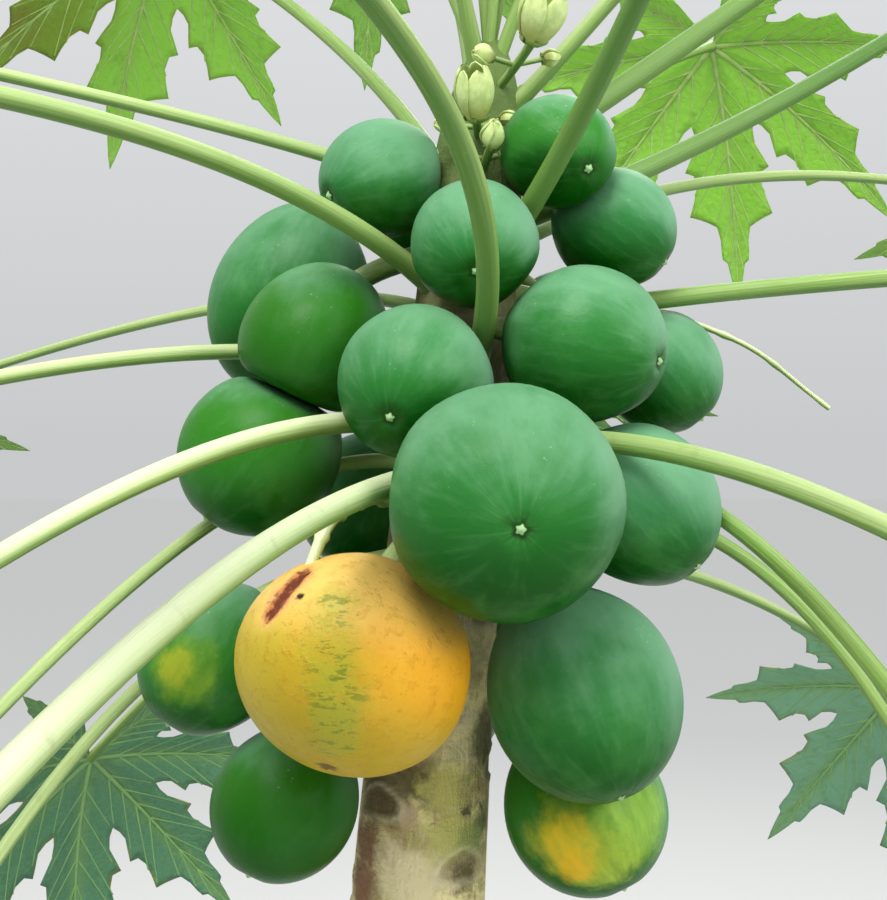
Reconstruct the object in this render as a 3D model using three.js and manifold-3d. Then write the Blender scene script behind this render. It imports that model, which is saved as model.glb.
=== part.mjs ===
// A young papaya tree in fruit: one leaning trunk, a column of round fruit packed round its upper part, and
// long-stalked palmate leaves that leave the trunk between the fruit. Millimetres, +Z up, origin on the ground
// under the middle of the trunk's flat cut. The side that is looked at from the front faces -Y.
import * as THREE from "three";
import Module from "manifold-3d";

const wasm = await Module();
wasm.setup();

// Room left between neighbouring solids
const GAP = 0.4;

// Corners left by a cut are dropped where the surface moves by less than this
const TOLERANCE = 0.15;

// Trunk: it bows towards +X, tapers evenly, flares at the ground and closes in a dome at the growing tip
const TRUNK_TOP = 1628;
const TRUNK_BOW = 87;
const TRUNK_FOOT_RADIUS = 80;
const TRUNK_TAPER = 0.0285;
const FLARE_WIDTH = 24;
const FLARE_HEIGHT = 75;
const DOME_HEIGHT = 128;
const TRUNK_SIDES = 18;
const TRUNK_RINGS = 22;
const RING_CROWDING = 0.75;

// Fruit: the blossom end is fuller than the stalk end, and neighbours flatten each other
const FRUIT_SIDES = 12;
const FRUIT_RINGS = 7;
const FRUIT_NECK = 0.09;
const PRESS = 12;
const FRUIT_STALK_RADIUS = 9;
const FRUIT_STALK_SIDES = 5;
const FRUIT_STALK_STEPS = 2;
const FRUIT_STALK_RISE = 0.35;

// Where a fruit's stalk starts inside the fruit and where it bends, as shares of the fruit's length
const FRUIT_STALK_ROOT = 0.3;
const FRUIT_STALK_BEND = 0.6;

// Leaf stalks narrow towards the blade
const STALK_SIDES = 5;
const STALK_STEPS = 6;
const STALK_END = 0.72;

// Leaf blade: lobes fan out from the stalk's end, each one [angle off the middle lobe, length as a share of the
// longest]. Each lobe has a side lobe on either hand, and shares of its length say where its outline turns.
const LOBES = [
  [-135, 0.55],
  [-90, 0.8],
  [-45, 0.95],
  [0, 1],
  [45, 0.95],
  [90, 0.8],
  [135, 0.55],
];
const YOUNG_LOBES = [
  [-100, 0.62],
  [-50, 0.88],
  [0, 1],
  [50, 0.88],
  [100, 0.62],
];
const CLEFT = 0.34;
const SIDE_LOBE = { along: 0.66, off: 0.17 };
const NOTCH = { along: 0.72, off: 0.075 };
const RIB_BEND = 0.55;
const BLADE_THICKNESS = 0.021;
const BLADE_SAG = 0.32;
const BLADE_CREASE = 0.3;

// Each fruit: name, turn round the trunk from the front (degrees, + to the right), height of its middle,
// reach of its middle from the trunk's axis, width, length, and the way its blossom end points [turn, dip].
const FRUIT = [
  ["fruit_01", 11, 1265, 196, 165, 170, [5, 10]],
  ["fruit_02", 44, 1377, 126, 123, 130, [62, 12]],
  ["fruit_03", -16, 1350, 106, 118, 128, [-20, 26]],
  ["fruit_04", -79, 1386, 116, 118, 134, [-40, 52]],
  ["fruit_05", -118, 1428, 166, 136, 172, [-100, 68]],
  ["fruit_06", 2, 1453, 86, 98, 108, [0, 30]],
  ["fruit_07", -68, 1511, 78, 94, 104, [-60, 20]],
  ["fruit_08", 44, 1526, 84, 88, 96, [30, 25]],
  ["fruit_09", 78, 1474, 112, 96, 102, [80, 35]],
  ["fruit_10", 92, 1365, 160, 98, 108, [85, 50]],
  ["fruit_11", 57, 1262, 166, 118, 134, [65, 45]],
  ["fruit_12", -83, 1299, 150, 128, 138, [-80, 50]],
  ["fruit_13", -22, 1150, 150, 174, 158, [-28, 60]],
  ["fruit_14", 43, 1127, 158, 143, 165, [40, 62]],
  ["fruit_15", 74, 1024, 128, 128, 138, [60, 60]],
  ["fruit_16", -64, 1033, 118, 114, 126, [-60, 60]],
  ["fruit_17", -76, 1141, 176, 112, 124, [-70, 55]],
  ["fruit_18", 180, 1090, 130, 132, 148, [180, 55]],
  ["fruit_19", 128, 1120, 132, 126, 142, [125, 55]],
  ["fruit_20", -130, 1130, 136, 130, 146, [-125, 55]],
  ["fruit_21", 158, 1235, 140, 122, 136, [160, 45]],
  ["fruit_22", -150, 1255, 138, 120, 136, [-155, 45]],
  ["fruit_23", 118, 1260, 132, 110, 124, [112, 45]],
  ["fruit_24", 175, 1372, 120, 108, 120, [178, 40]],
  ["fruit_25", 128, 1400, 116, 100, 112, [122, 40]],
  ["fruit_26", -152, 1495, 92, 88, 98, [-160, 35]],
];

// Each leaf: name, height where its stalk leaves the trunk, the way it sets out [turn, rise, distance], where
// it ends [turn, rise, distance], stalk width, blade radius, and the dip of the blade below level.
const LEAVES = [
  ["leaf_01", 1282, [-17.5, -1, 441], [-12, -10, 965], 19, 245, 75],
  ["leaf_02", 1312, [-47.4, 13.1, 286], [-41.9, -22.1, 866], 17, 290, 50],
  ["leaf_03", 1175, [-123, 12.6, 287], [-52.9, -31.3, 538], 13, 260, 70],
  ["leaf_04", 1282, [-137.2, 13, 300], [-47.3, -30.3, 706], 13, 270, 65],
  ["leaf_05", 1354, [-121.5, 15.9, 318], [-51.5, -8.9, 780], 14, 280, 50],
  ["leaf_06", 1399, [-155.5, 18.4, 342], [-128, -4.1, 890], 12, 280, 50],
  ["leaf_07", 1404, [-50, 40, 270], [-49, 7, 834], 17, 300, 35],
  ["leaf_08", 1489, [-138.8, 26.9, 212], [-81.7, 12, 857], 13, 300, 35],
  ["leaf_09", 1316, [20.5, 38.4, 345], [-16, 22.1, 755], 18, 310, 20],
  ["leaf_10", 1419, [41.3, 35.7, 199], [19.1, 34.2, 846], 18, 310, 20],
  ["leaf_11", 1511, [100, 34, 250], [114, 35, 850], 20, 320, 25],
  ["leaf_12", 1470, [96.8, 18, 257], [119, 28, 846], 18, 330, 30],
  ["leaf_13", 1440, [124, 32, 295], [127, 9, 800], 12, 270, 45],
  ["leaf_14", 1396, [91.7, 11.3, 258], [75.9, 2.9, 851], 16, 300, 40],
  ["leaf_15", 1294, [39.8, 11.9, 337], [36.5, -16.2, 825], 17, 290, 50],
  ["leaf_16", 1275, [117.4, 15.9, 303], [25.8, -21.6, 757], 15, 270, 65],
  ["leaf_17", 1238, [91.8, 20.5, 325], [76.1, -42, 611], 13, 260, 65],
  ["leaf_18", 1430, [155, 48, 260], [154, 27, 770], 15, 300, 50],
  ["leaf_19", 1476, [-156.1, 49, 242], [-148.7, 32.8, 784], 15, 300, 35],
  ["leaf_20", 1520, [178, 60, 260], [-171, 38, 800], 15, 300, 30],
  ["leaf_21", 1185, [-149.7, 10, 271], [-141.9, -19.8, 671], 13, 280, 65],
  ["leaf_22", 1182, [127.4, 24.9, 221], [133.8, -11.7, 717], 13, 280, 60],
  ["leaf_23", 1351, [163.8, 54.1, 284], [172, 2, 860], 14, 290, 50],
];

// Young leaves at the growing tip, in the same terms, with small blades that have fewer lobes
const YOUNG_LEAVES = [
  ["young_leaf_01", 1560, [-20, 66, 220], [-28, 62, 640], 11, 170, 5],
  ["young_leaf_02", 1575, [60, 70, 220], [62, 58, 600], 11, 160, 10],
  ["young_leaf_03", 1588, [-120, 72, 200], [-112, 60, 560], 10, 150, 10],
  ["young_leaf_04", 1600, [150, 78, 180], [140, 66, 500], 9, 130, 0],
  ["young_leaf_05", 1606, [10, 82, 160], [30, 78, 420], 8, 100, 10],
];

// Flower buds on short stalks below the growing tip: name, height, [turn, rise, distance], bud radius, bud length
const BUDS = [
  ["flower_bud_01", 1545, [-4, 17, 62], 15, 38],
  ["flower_bud_02", 1575, [36, 35, 86], 16, 36],
  ["flower_bud_03", 1514, [7, 10, 76], 10, 24],
];
const BUD_STALK_RADIUS = 4;
const BUD_SINK = 3;
const BUD_SIDES = 8;
const BUD_STEPS = 4;

const BARK = new THREE.MeshStandardMaterial({ color: 0x9a8a5c, roughness: 0.85, metalness: 0 });
const GREEN_SKIN = new THREE.MeshStandardMaterial({ color: 0x3d8a52, roughness: 0.45, metalness: 0 });
const RIPE_SKIN = new THREE.MeshStandardMaterial({ color: 0xe8a732, roughness: 0.45, metalness: 0 });
const TURNING_SKIN = new THREE.MeshStandardMaterial({ color: 0x8fa63a, roughness: 0.45, metalness: 0 });
const LEAF = new THREE.MeshStandardMaterial({ color: 0x6fb03c, roughness: 0.55, metalness: 0 });
const PETAL = new THREE.MeshStandardMaterial({ color: 0xe9e6a8, roughness: 0.6, metalness: 0 });
const RIPENESS = { fruit_13: RIPE_SKIN, fruit_15: TURNING_SKIN, fruit_17: TURNING_SKIN };

const radians = THREE.MathUtils.degToRad;

// A unit vector: turn is taken round the trunk from the front (-Y) towards +X, rise is above level.
function heading(turn, rise) {
  const level = Math.cos(radians(rise));
  return new THREE.Vector3(
    Math.sin(radians(turn)) * level,
    -Math.cos(radians(turn)) * level,
    Math.sin(radians(rise)),
  );
}

function trunkAxis(z) {
  return new THREE.Vector3(TRUNK_BOW * (z / TRUNK_TOP) ** 2, 0, z);
}

function trunkRadius(z) {
  const stem = TRUNK_FOOT_RADIUS - TRUNK_TAPER * z + FLARE_WIDTH * Math.exp(-z / FLARE_HEIGHT);
  const inDome = Math.max(0, z - (TRUNK_TOP - DOME_HEIGHT)) / DOME_HEIGHT;
  return stem * Math.sqrt(Math.max(0, 1 - inDome ** 2));
}

function solid(points, faces) {
  const vertProperties = new Float32Array(points.flatMap((p) => [p.x, p.y, p.z]));
  const triVerts = new Uint32Array(faces.flat());
  return new wasm.Manifold(new wasm.Mesh({ numProp: 3, vertProperties, triVerts }));
}

// Joins rings of points, each ordered by the right-hand rule about the way from first to last, into a closed
// solid whose ends run to the points start and end.
function skin(rings, start, end) {
  const sides = rings[0].length;
  const points = [...rings.flat(), start, end];
  const faces = [];
  const at = (ring, side) => ring * sides + (side % sides);
  const last = rings.length - 1;
  for (let j = 0; j < sides; j++) {
    for (let i = 0; i < last; i++) {
      faces.push([at(i, j), at(i, j + 1), at(i + 1, j + 1)]);
      faces.push([at(i, j), at(i + 1, j + 1), at(i + 1, j)]);
    }
    faces.push([points.length - 2, at(0, j + 1), at(0, j)]);
    faces.push([points.length - 1, at(last, j), at(last, j + 1)]);
  }
  return solid(points, faces);
}

function ring(middle, across, along, radius, sides) {
  return Array.from({ length: sides }, (_, j) => {
    const angle = (2 * Math.PI * j) / sides;
    return middle
      .clone()
      .addScaledVector(across, radius * Math.cos(angle))
      .addScaledVector(along, radius * Math.sin(angle));
  });
}

// A tube along a curve, with its radius given by a function of the share of the way.
function tube(curve, steps, sides, radiusAt) {
  const frames = curve.computeFrenetFrames(steps, false);
  const rings = Array.from({ length: steps + 1 }, (_, i) =>
    ring(curve.getPointAt(i / steps), frames.normals[i], frames.binormals[i], radiusAt(i / steps), sides),
  );
  return skin(rings, curve.getPointAt(0), curve.getPointAt(1));
}

// The trunk, made thicker by grow. Its rings crowd together in the flare and in the dome.
function makeTrunk(grow) {
  const across = new THREE.Vector3(1, 0, 0);
  const along = new THREE.Vector3(0, 1, 0);
  const rings = [];
  for (let i = 0; i < TRUNK_RINGS; i++) {
    const share = i / TRUNK_RINGS;
    const eased = share - Math.sin(2 * Math.PI * share) / (2 * Math.PI);
    const z = TRUNK_TOP * THREE.MathUtils.lerp(share, eased, RING_CROWDING);
    rings.push(ring(trunkAxis(z), across, along, trunkRadius(z) + grow, TRUNK_SIDES));
  }
  return skin(rings, trunkAxis(0), trunkAxis(TRUNK_TOP + grow));
}

function leafCurve([, height, [setTurn, setRise, setDistance], [turn, rise, distance]]) {
  const foot = trunkAxis(height);
  const bend = foot.clone().addScaledVector(heading(setTurn, setRise), setDistance);
  const end = foot.clone().addScaledVector(heading(turn, rise), distance);
  return new THREE.QuadraticBezierCurve3(foot, bend, end);
}

function stalkRadius(width, share) {
  return (width / 2) * THREE.MathUtils.lerp(1, STALK_END, share);
}

function makeStalk(row, grow) {
  const width = row[4];
  return tube(leafCurve(row), STALK_STEPS, STALK_SIDES, (share) => stalkRadius(width, share) + grow);
}

// A blade lying flat with its middle lobe along +X: points as [x, y, distance off the lobe's rib], and faces
// that wind round +Z.
function bladeOutline(size, lobes) {
  const points = [[0, 0, 0]];
  const faces = [];
  const add = (x, y, off) => points.push([x, y, off]) - 1;
  const clefts = [];
  const spread = lobes[1][0] - lobes[0][0];
  for (let k = 0; k <= lobes.length; k++) {
    const angle = lobes[0][0] + (k - 0.5) * spread;
    const shorter = Math.min((lobes[k - 1] ?? lobes[0])[1], (lobes[k] ?? lobes[0])[1]);
    const reach = (size * CLEFT * (shorter + 1)) / 2;
    const off = reach * Math.sin(radians(spread / 2));
    clefts.push(add(reach * Math.cos(radians(angle)), reach * Math.sin(radians(angle)), off));
  }
  lobes.forEach(([angle, share], k) => {
    const length = size * share;
    const place = (along, off) => {
      const c = Math.cos(radians(angle));
      const s = Math.sin(radians(angle));
      return add(length * (along * c - off * s), length * (along * s + off * c), Math.abs(off) * length);
    };
    const rib = place(RIB_BEND, 0);
    const tip = place(1, 0);
    for (const side of [-1, 1]) {
      const cleft = clefts[side < 0 ? k : k + 1];
      const sideLobe = place(SIDE_LOBE.along, side * SIDE_LOBE.off);
      const notch = place(NOTCH.along, side * NOTCH.off);
      const corners = [0, cleft, sideLobe, notch, tip];
      for (let i = 0; i < 4; i++) {
        const [near, far] = [corners[i], corners[i + 1]];
        faces.push(side > 0 ? [rib, far, near] : [rib, near, far]);
      }
    }
  });
  return { points, faces };
}

// The blade of a leaf, sagging away from the stalk's end and creased along each rib.
function makeBlade(row, lobes) {
  const [, , , [turn], , size, dip] = row;
  const { points, faces } = bladeOutline(size, lobes);
  const thickness = size * BLADE_THICKNESS;
  const forward = heading(turn, -dip);
  const side = heading(turn + 90, 0);
  const up = forward.clone().cross(side);
  const end = leafCurve(row).getPoint(1);
  const place = ([x, y, off], raised) =>
    end
      .clone()
      .addScaledVector(forward, x)
      .addScaledVector(side, y)
      .addScaledVector(up, raised - (BLADE_SAG * (x * x + y * y)) / size - BLADE_CREASE * off);
  const top = points.map((p) => place(p, thickness / 2));
  const underside = points.map((p) => place(p, -thickness / 2));
  const count = points.length;
  const all = [...faces, ...faces.map(([a, b, c]) => [a + count, c + count, b + count])];
  const edges = new Set(faces.flatMap(([a, b, c]) => [`${a} ${b}`, `${b} ${c}`, `${c} ${a}`]));
  for (const edge of edges) {
    const [a, b] = edge.split(" ").map(Number);
    if (!edges.has(`${b} ${a}`)) all.push([a, a + count, b + count], [a, b + count, b]);
  }
  return solid([...top, ...underside], all);
}

function fruitMiddle([, turn, height, reach]) {
  return trunkAxis(height).addScaledVector(heading(turn, 0), reach);
}

function nearestOn(curve, point) {
  const steps = 10 * STALK_STEPS;
  let best = { distance: Infinity };
  for (let i = 0; i <= steps; i++) {
    const place = curve.getPoint(i / steps);
    const distance = place.distanceTo(point);
    if (distance < best.distance) best = { distance, place, share: i / steps };
  }
  return best;
}

// What presses on a fruit: planes, each with the way to it from the fruit's middle and its distance. They lie
// halfway to a neighbouring fruit, in proportion to the sizes, and against the trunk and the leaf stalks.
function pressesOn(row) {
  const middle = fruitMiddle(row);
  const radius = (row[4] + row[5]) / 4;
  const planes = [];
  for (const other of FRUIT) {
    if (other === row) continue;
    const away = fruitMiddle(other).sub(middle);
    const distance = away.length();
    const theirs = (other[4] + other[5]) / 4;
    const share = (distance ** 2 + radius ** 2 - theirs ** 2) / (2 * distance);
    planes.push({ way: away.normalize(), distance: share - GAP / 2 });
  }
  const bark = trunkAxis(middle.z).sub(middle);
  planes.push({ way: bark.clone().normalize(), distance: bark.length() - trunkRadius(middle.z) - GAP });
  for (const leaf of [...LEAVES, ...YOUNG_LEAVES]) {
    const near = nearestOn(leafCurve(leaf), middle);
    const distance = near.distance - stalkRadius(leaf[4], near.share) - GAP;
    planes.push({ way: near.place.sub(middle).normalize(), distance });
  }
  return planes.filter((plane) => plane.distance < 2 * radius);
}

// Distance from the fruit's middle to its skin along a way that makes angle with the blossom end.
function fruitReach(width, length, planes, way, angle) {
  const plain = 1 / Math.hypot(Math.cos(angle) / (length / 2), Math.sin(angle) / (width / 2));
  const shaped = plain * (1 - FRUIT_NECK * ((1 - Math.cos(angle)) / 2) ** 2 * Math.sin(angle));
  const pressed = planes.reduce(
    (sum, plane) => sum + Math.max(0, way.dot(plane.way) / plane.distance) ** PRESS,
    shaped ** -PRESS,
  );
  return pressed ** (-1 / PRESS);
}

function fruitStalkCurve(row) {
  const [turn, dip] = row[6];
  const middle = fruitMiddle(row);
  const blossom = heading(turn, -dip);
  const neck = middle.clone().addScaledVector(blossom, -FRUIT_STALK_ROOT * row[5]);
  const bend = middle.clone().addScaledVector(blossom, -FRUIT_STALK_BEND * row[5]);
  const foot = trunkAxis(bend.z + FRUIT_STALK_RISE * trunkRadius(bend.z));
  return new THREE.QuadraticBezierCurve3(neck, bend, foot);
}

function makeFruitStalk(row, grow) {
  return tube(fruitStalkCurve(row), FRUIT_STALK_STEPS, FRUIT_STALK_SIDES, () => FRUIT_STALK_RADIUS + grow);
}

function makeFruitBody(row) {
  const [, , , , width, length, [turn, dip]] = row;
  const middle = fruitMiddle(row);
  const blossom = heading(turn, -dip);
  const across = heading(turn + 90, 0);
  const along = blossom.clone().cross(across);
  const planes = pressesOn(row);
  const place = (angle, round) => {
    const way = blossom
      .clone()
      .multiplyScalar(Math.cos(angle))
      .addScaledVector(across, Math.sin(angle) * Math.cos(round))
      .addScaledVector(along, Math.sin(angle) * Math.sin(round));
    return middle.clone().addScaledVector(way, fruitReach(width, length, planes, way, angle));
  };
  const rings = Array.from({ length: FRUIT_RINGS }, (_, i) =>
    Array.from({ length: FRUIT_SIDES }, (_, j) =>
      place(Math.PI * (1 - (i + 1) / (FRUIT_RINGS + 1)), (2 * Math.PI * j) / FRUIT_SIDES),
    ),
  );
  return skin(rings, place(Math.PI, 0), place(0, 0));
}

function makeBud([, height, [turn, rise, distance], radius, length]) {
  const foot = trunkAxis(height);
  const way = heading(turn, rise);
  const end = foot.clone().addScaledVector(way, distance);
  const stalk = tube(new THREE.LineCurve3(foot, end), 1, FRUIT_STALK_SIDES, () => BUD_STALK_RADIUS);
  const tip = end.clone().addScaledVector(way, length);
  const bulge = (share) => radius * Math.sin(Math.PI * THREE.MathUtils.lerp(0.12, 0.92, share));
  const start = end.clone().addScaledVector(way, -BUD_SINK);
  return stalk.add(tube(new THREE.LineCurve3(start, tip), BUD_STEPS, BUD_SIDES, bulge));
}

function largest(shape) {
  return shape.decompose().reduce((a, b) => (b.volume() > a.volume() ? b : a));
}

function meshOf(name, shape, material) {
  const made = shape.simplify(TOLERANCE).getMesh();
  const positions = new Float32Array(made.numVert * 3);
  for (let i = 0; i < made.numVert; i++) {
    positions.set(made.vertProperties.subarray(i * made.numProp, i * made.numProp + 3), i * 3);
  }
  const geometry = new THREE.BufferGeometry();
  geometry.setAttribute("position", new THREE.BufferAttribute(positions, 3));
  geometry.setIndex(new THREE.BufferAttribute(made.triVerts, 1));
  geometry.computeVertexNormals();
  const mesh = new THREE.Mesh(geometry, material);
  mesh.name = name;
  return mesh;
}

const tree = new THREE.Group();
const clearTrunk = makeTrunk(GAP);
tree.add(meshOf("trunk", makeTrunk(0), BARK));

const leafRows = [...LEAVES.map((row) => [row, LOBES]), ...YOUNG_LEAVES.map((row) => [row, YOUNG_LOBES])];
const clearStalks = leafRows.map(([row]) => makeStalk(row, GAP));
leafRows.forEach(([row, lobes], i) => {
  let stalk = makeStalk(row, 0).subtract(clearTrunk);
  clearStalks.slice(0, i).forEach((other) => {
    stalk = stalk.subtract(other);
  });
  tree.add(meshOf(row[0], largest(stalk.add(makeBlade(row, lobes))), LEAF));
});

const clearFruitStalks = FRUIT.map((row) => makeFruitStalk(row, GAP));
FRUIT.forEach((row, i) => {
  let body = makeFruitBody(row);
  let stalk = makeFruitStalk(row, 0);
  clearFruitStalks.forEach((other, j) => {
    if (j !== i) body = body.subtract(other);
    if (j < i) stalk = stalk.subtract(other);
  });
  let fruit = body.add(stalk).subtract(clearTrunk);
  clearStalks.forEach((other) => {
    fruit = fruit.subtract(other);
  });
  tree.add(meshOf(row[0], largest(fruit), RIPENESS[row[0]] ?? GREEN_SKIN));
});

for (const row of BUDS) {
  tree.add(meshOf(row[0], makeBud(row).subtract(clearTrunk), PETAL));
}

export default tree;
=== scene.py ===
"""Looks of a young papaya tree in fruit.

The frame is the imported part's own: metres, +Z up, the origin on the ground under the trunk, and the front
faces -Y. The tables below hold millimetres and degrees, as the part's source does.
"""

import math
from collections import namedtuple

import bmesh
import bpy
import numpy as np
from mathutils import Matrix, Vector


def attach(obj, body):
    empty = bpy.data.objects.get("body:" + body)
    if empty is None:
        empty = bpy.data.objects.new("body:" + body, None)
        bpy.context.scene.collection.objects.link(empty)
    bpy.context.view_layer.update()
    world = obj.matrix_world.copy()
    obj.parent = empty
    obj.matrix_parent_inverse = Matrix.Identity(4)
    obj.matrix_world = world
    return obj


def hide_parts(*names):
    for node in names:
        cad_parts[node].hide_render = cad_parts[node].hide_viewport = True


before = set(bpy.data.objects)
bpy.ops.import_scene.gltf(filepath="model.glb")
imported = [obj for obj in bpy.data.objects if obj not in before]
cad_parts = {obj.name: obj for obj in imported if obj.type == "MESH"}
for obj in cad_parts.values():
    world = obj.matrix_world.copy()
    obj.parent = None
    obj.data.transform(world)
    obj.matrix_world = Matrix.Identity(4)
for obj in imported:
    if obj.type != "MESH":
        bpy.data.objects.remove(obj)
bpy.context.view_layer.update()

MM = 0.001

# Room between a fruit and what it is pressed against
GAP = 0.4

# Camera: level, one and a quarter metres from the trunk, at the height of the fruit
CAMERA_X = 49
CAMERA_DISTANCE = 1250
CAMERA_HEIGHT = 1300
FRAME_SIDE = 900
FOCAL_PIXELS = 1571
SENSOR = 36

# Trunk
TRUNK_TOP = 1628
TRUNK_BOW = 87
TRUNK_FOOT_RADIUS = 80
TRUNK_TAPER = 0.0285
FLARE_WIDTH = 24
FLARE_HEIGHT = 75
DOME_HEIGHT = 128
TRUNK_SIDES = 144
TRUNK_RINGS = 540
LAST_RING_DROP = 0.4
FOOT_FLUTES = 3.5
FOOT_FLUTE_FADE = 90

# Scars that fallen leaves left on the trunk, in a rising spiral that ends below the tip
SCAR_FIRST = 116
SCAR_STEP = 24
SCAR_START = 38
SCAR_TURN = 137.5
SCAR_WIDTH = 29
SCAR_HEIGHT = 15
SCAR_DEPTH = 1.3
SCAR_RIM = 1.0
SCARLESS_TIP = 60
SMOOTH_TIP = 150

# Fruit
FRUIT_SIDES = 60
FRUIT_RINGS = 40
FRUIT_RING_CROWDING = 1.55
FRUIT_NECK = 0.09
FRUIT_RIBS = 0.006

# How sharp the edge of a fruit's flat side is, and at how many points a leaf stalk is measured for it
PRESS = 12
PRESS_POINTS = 61

# The blossom end's hollow, with its five points, and the tip inside it: depth or height, and the angle on a
# fruit of this length
BLOSSOM_FRUIT_LENGTH = 75
HOLLOW_DEPTH = 3.4
HOLLOW_ANGLE = 0.20
HOLLOW_POINTS = 0.16
TIP_HEIGHT = 4.2
TIP_ANGLE = 0.075

# The ripe fruit's bruise
RIPE_FRUIT = "fruit_13"
BRUISE_DEPTH = 3.0
BRUISE_REACH = 7
BRUISE_LIP = 1.0
BRUISE_LIP_REACH = 12
BRUISE_LIP_WIDTH = 4

# Fruit stalks
FRUIT_STALK_RADIUS = 9
FRUIT_STALK_RISE = 0.35
FRUIT_STALK_ROOT = 0.3
FRUIT_STALK_BEND = 0.6
FRUIT_STALK_POINTS = 14
FRUIT_STALK_SIDES = 12

# Leaf stalks: how thin the far end is, and the thickened foot and neck as shares of width and length
STALK_END = 0.72
STALK_POINTS = 44
STALK_SIDES = 14
FOOT_SWELL = 0.30
FOOT_LENGTH = 0.05
NECK_SWELL = 0.25
NECK_LENGTH = 0.015

# Leaf blade: lobes as [angle off the middle lobe, length as a share of the longest]
LOBES = [(-135, 0.55), (-90, 0.8), (-45, 0.95), (0, 1), (45, 0.95), (90, 0.8), (135, 0.55)]
YOUNG_LOBES = [(-100, 0.62), (-50, 0.88), (0, 1), (50, 0.88), (100, 0.62)]

# A lobe's edge: how far out the cleft and its place on the rib are, and the corners (along, off the rib)
CLEFT = 0.34
CLEFT_RIB = 0.72
SIDE_LOBE = (0.66, 0.17)
NOTCH = (0.72, 0.075)
LOBE_TIP = (1.0, 0.0)

# Teeth of half a lobe's edge, as (share of the way, push outwards): from the cleft to the side lobe, from
# there to the notch, and on to the tip
TEETH = (
    (
        (0, 0.0),
        (0.12, -0.012),
        (0.26, -0.014),
        (0.40, 0.010),
        (0.50, 0.026),
        (0.56, -0.008),
        (0.70, -0.020),
        (0.86, -0.010),
    ),
    ((0, 0.004), (0.35, -0.004), (0.7, -0.006)),
    (
        (0, -0.004),
        (0.18, -0.002),
        (0.34, 0.010),
        (0.44, 0.014),
        (0.50, -0.001),
        (0.66, 0.002),
        (0.84, 0.003),
        (1, 0.0),
    ),
)

# A blade's grid, its thickness, and how it sags, creases along the ribs and waves
BLADE_COLUMNS = 5
BLADE_INNER_ROWS = 6
BLADE_THICKNESS = 1.2
BLADE_SAG = 0.32
BLADE_CREASE = 0.3
BLADE_WAVE = 0.016
BLADE_WAVES = 9
BLADE_RIPPLE = 0.010
BLADE_RIPPLES = 40

# Veins: thickness of a rib and of a side vein on a blade of the full size, and the least radius
FULL_BLADE = 300
RIB = 4.0
RIB_END = 0.97
SIDE_VEIN = 2.1
VEIN_TAPER = 0.80
VEIN_RISE = -0.05
VEIN_SIDES = 6
THINNEST_VEIN = 0.95

# A blade smaller than this has half the side veins, and they are thinner
SMALL_BLADE = 110
THINNEST_SMALL_VEIN = 0.7

# Each fruit: turn round the trunk from the front, height of its middle, reach of its middle from the
# trunk's axis, width, length, and the way its blossom end points (turn, dip)
Fruit = namedtuple("Fruit", "turn height reach width length blossom")
FRUIT = {
    "fruit_01": Fruit(11, 1265, 196, 165, 170, (5, 10)),
    "fruit_02": Fruit(44, 1377, 126, 123, 130, (62, 12)),
    "fruit_03": Fruit(-16, 1350, 106, 118, 128, (-20, 26)),
    "fruit_04": Fruit(-79, 1386, 116, 118, 134, (-40, 52)),
    "fruit_05": Fruit(-118, 1428, 166, 136, 172, (-100, 68)),
    "fruit_06": Fruit(2, 1453, 86, 98, 108, (0, 30)),
    "fruit_07": Fruit(-68, 1511, 78, 94, 104, (-60, 20)),
    "fruit_08": Fruit(44, 1526, 84, 88, 96, (30, 25)),
    "fruit_09": Fruit(78, 1474, 112, 96, 102, (80, 35)),
    "fruit_10": Fruit(92, 1365, 160, 98, 108, (85, 50)),
    "fruit_11": Fruit(57, 1262, 166, 118, 134, (65, 45)),
    "fruit_12": Fruit(-83, 1299, 150, 128, 138, (-80, 50)),
    "fruit_13": Fruit(-22, 1150, 150, 174, 158, (-28, 60)),
    "fruit_14": Fruit(43, 1127, 158, 143, 165, (40, 62)),
    "fruit_15": Fruit(74, 1024, 128, 128, 138, (60, 60)),
    "fruit_16": Fruit(-64, 1033, 118, 114, 126, (-60, 60)),
    "fruit_17": Fruit(-76, 1141, 176, 112, 124, (-70, 55)),
    "fruit_18": Fruit(180, 1090, 130, 132, 148, (180, 55)),
    "fruit_19": Fruit(128, 1120, 132, 126, 142, (125, 55)),
    "fruit_20": Fruit(-130, 1130, 136, 130, 146, (-125, 55)),
    "fruit_21": Fruit(158, 1235, 140, 122, 136, (160, 45)),
    "fruit_22": Fruit(-150, 1255, 138, 120, 136, (-155, 45)),
    "fruit_23": Fruit(118, 1260, 132, 110, 124, (112, 45)),
    "fruit_24": Fruit(175, 1372, 120, 108, 120, (178, 40)),
    "fruit_25": Fruit(128, 1400, 116, 100, 112, (122, 40)),
    "fruit_26": Fruit(-152, 1495, 92, 88, 98, (-160, 35)),
}

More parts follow.
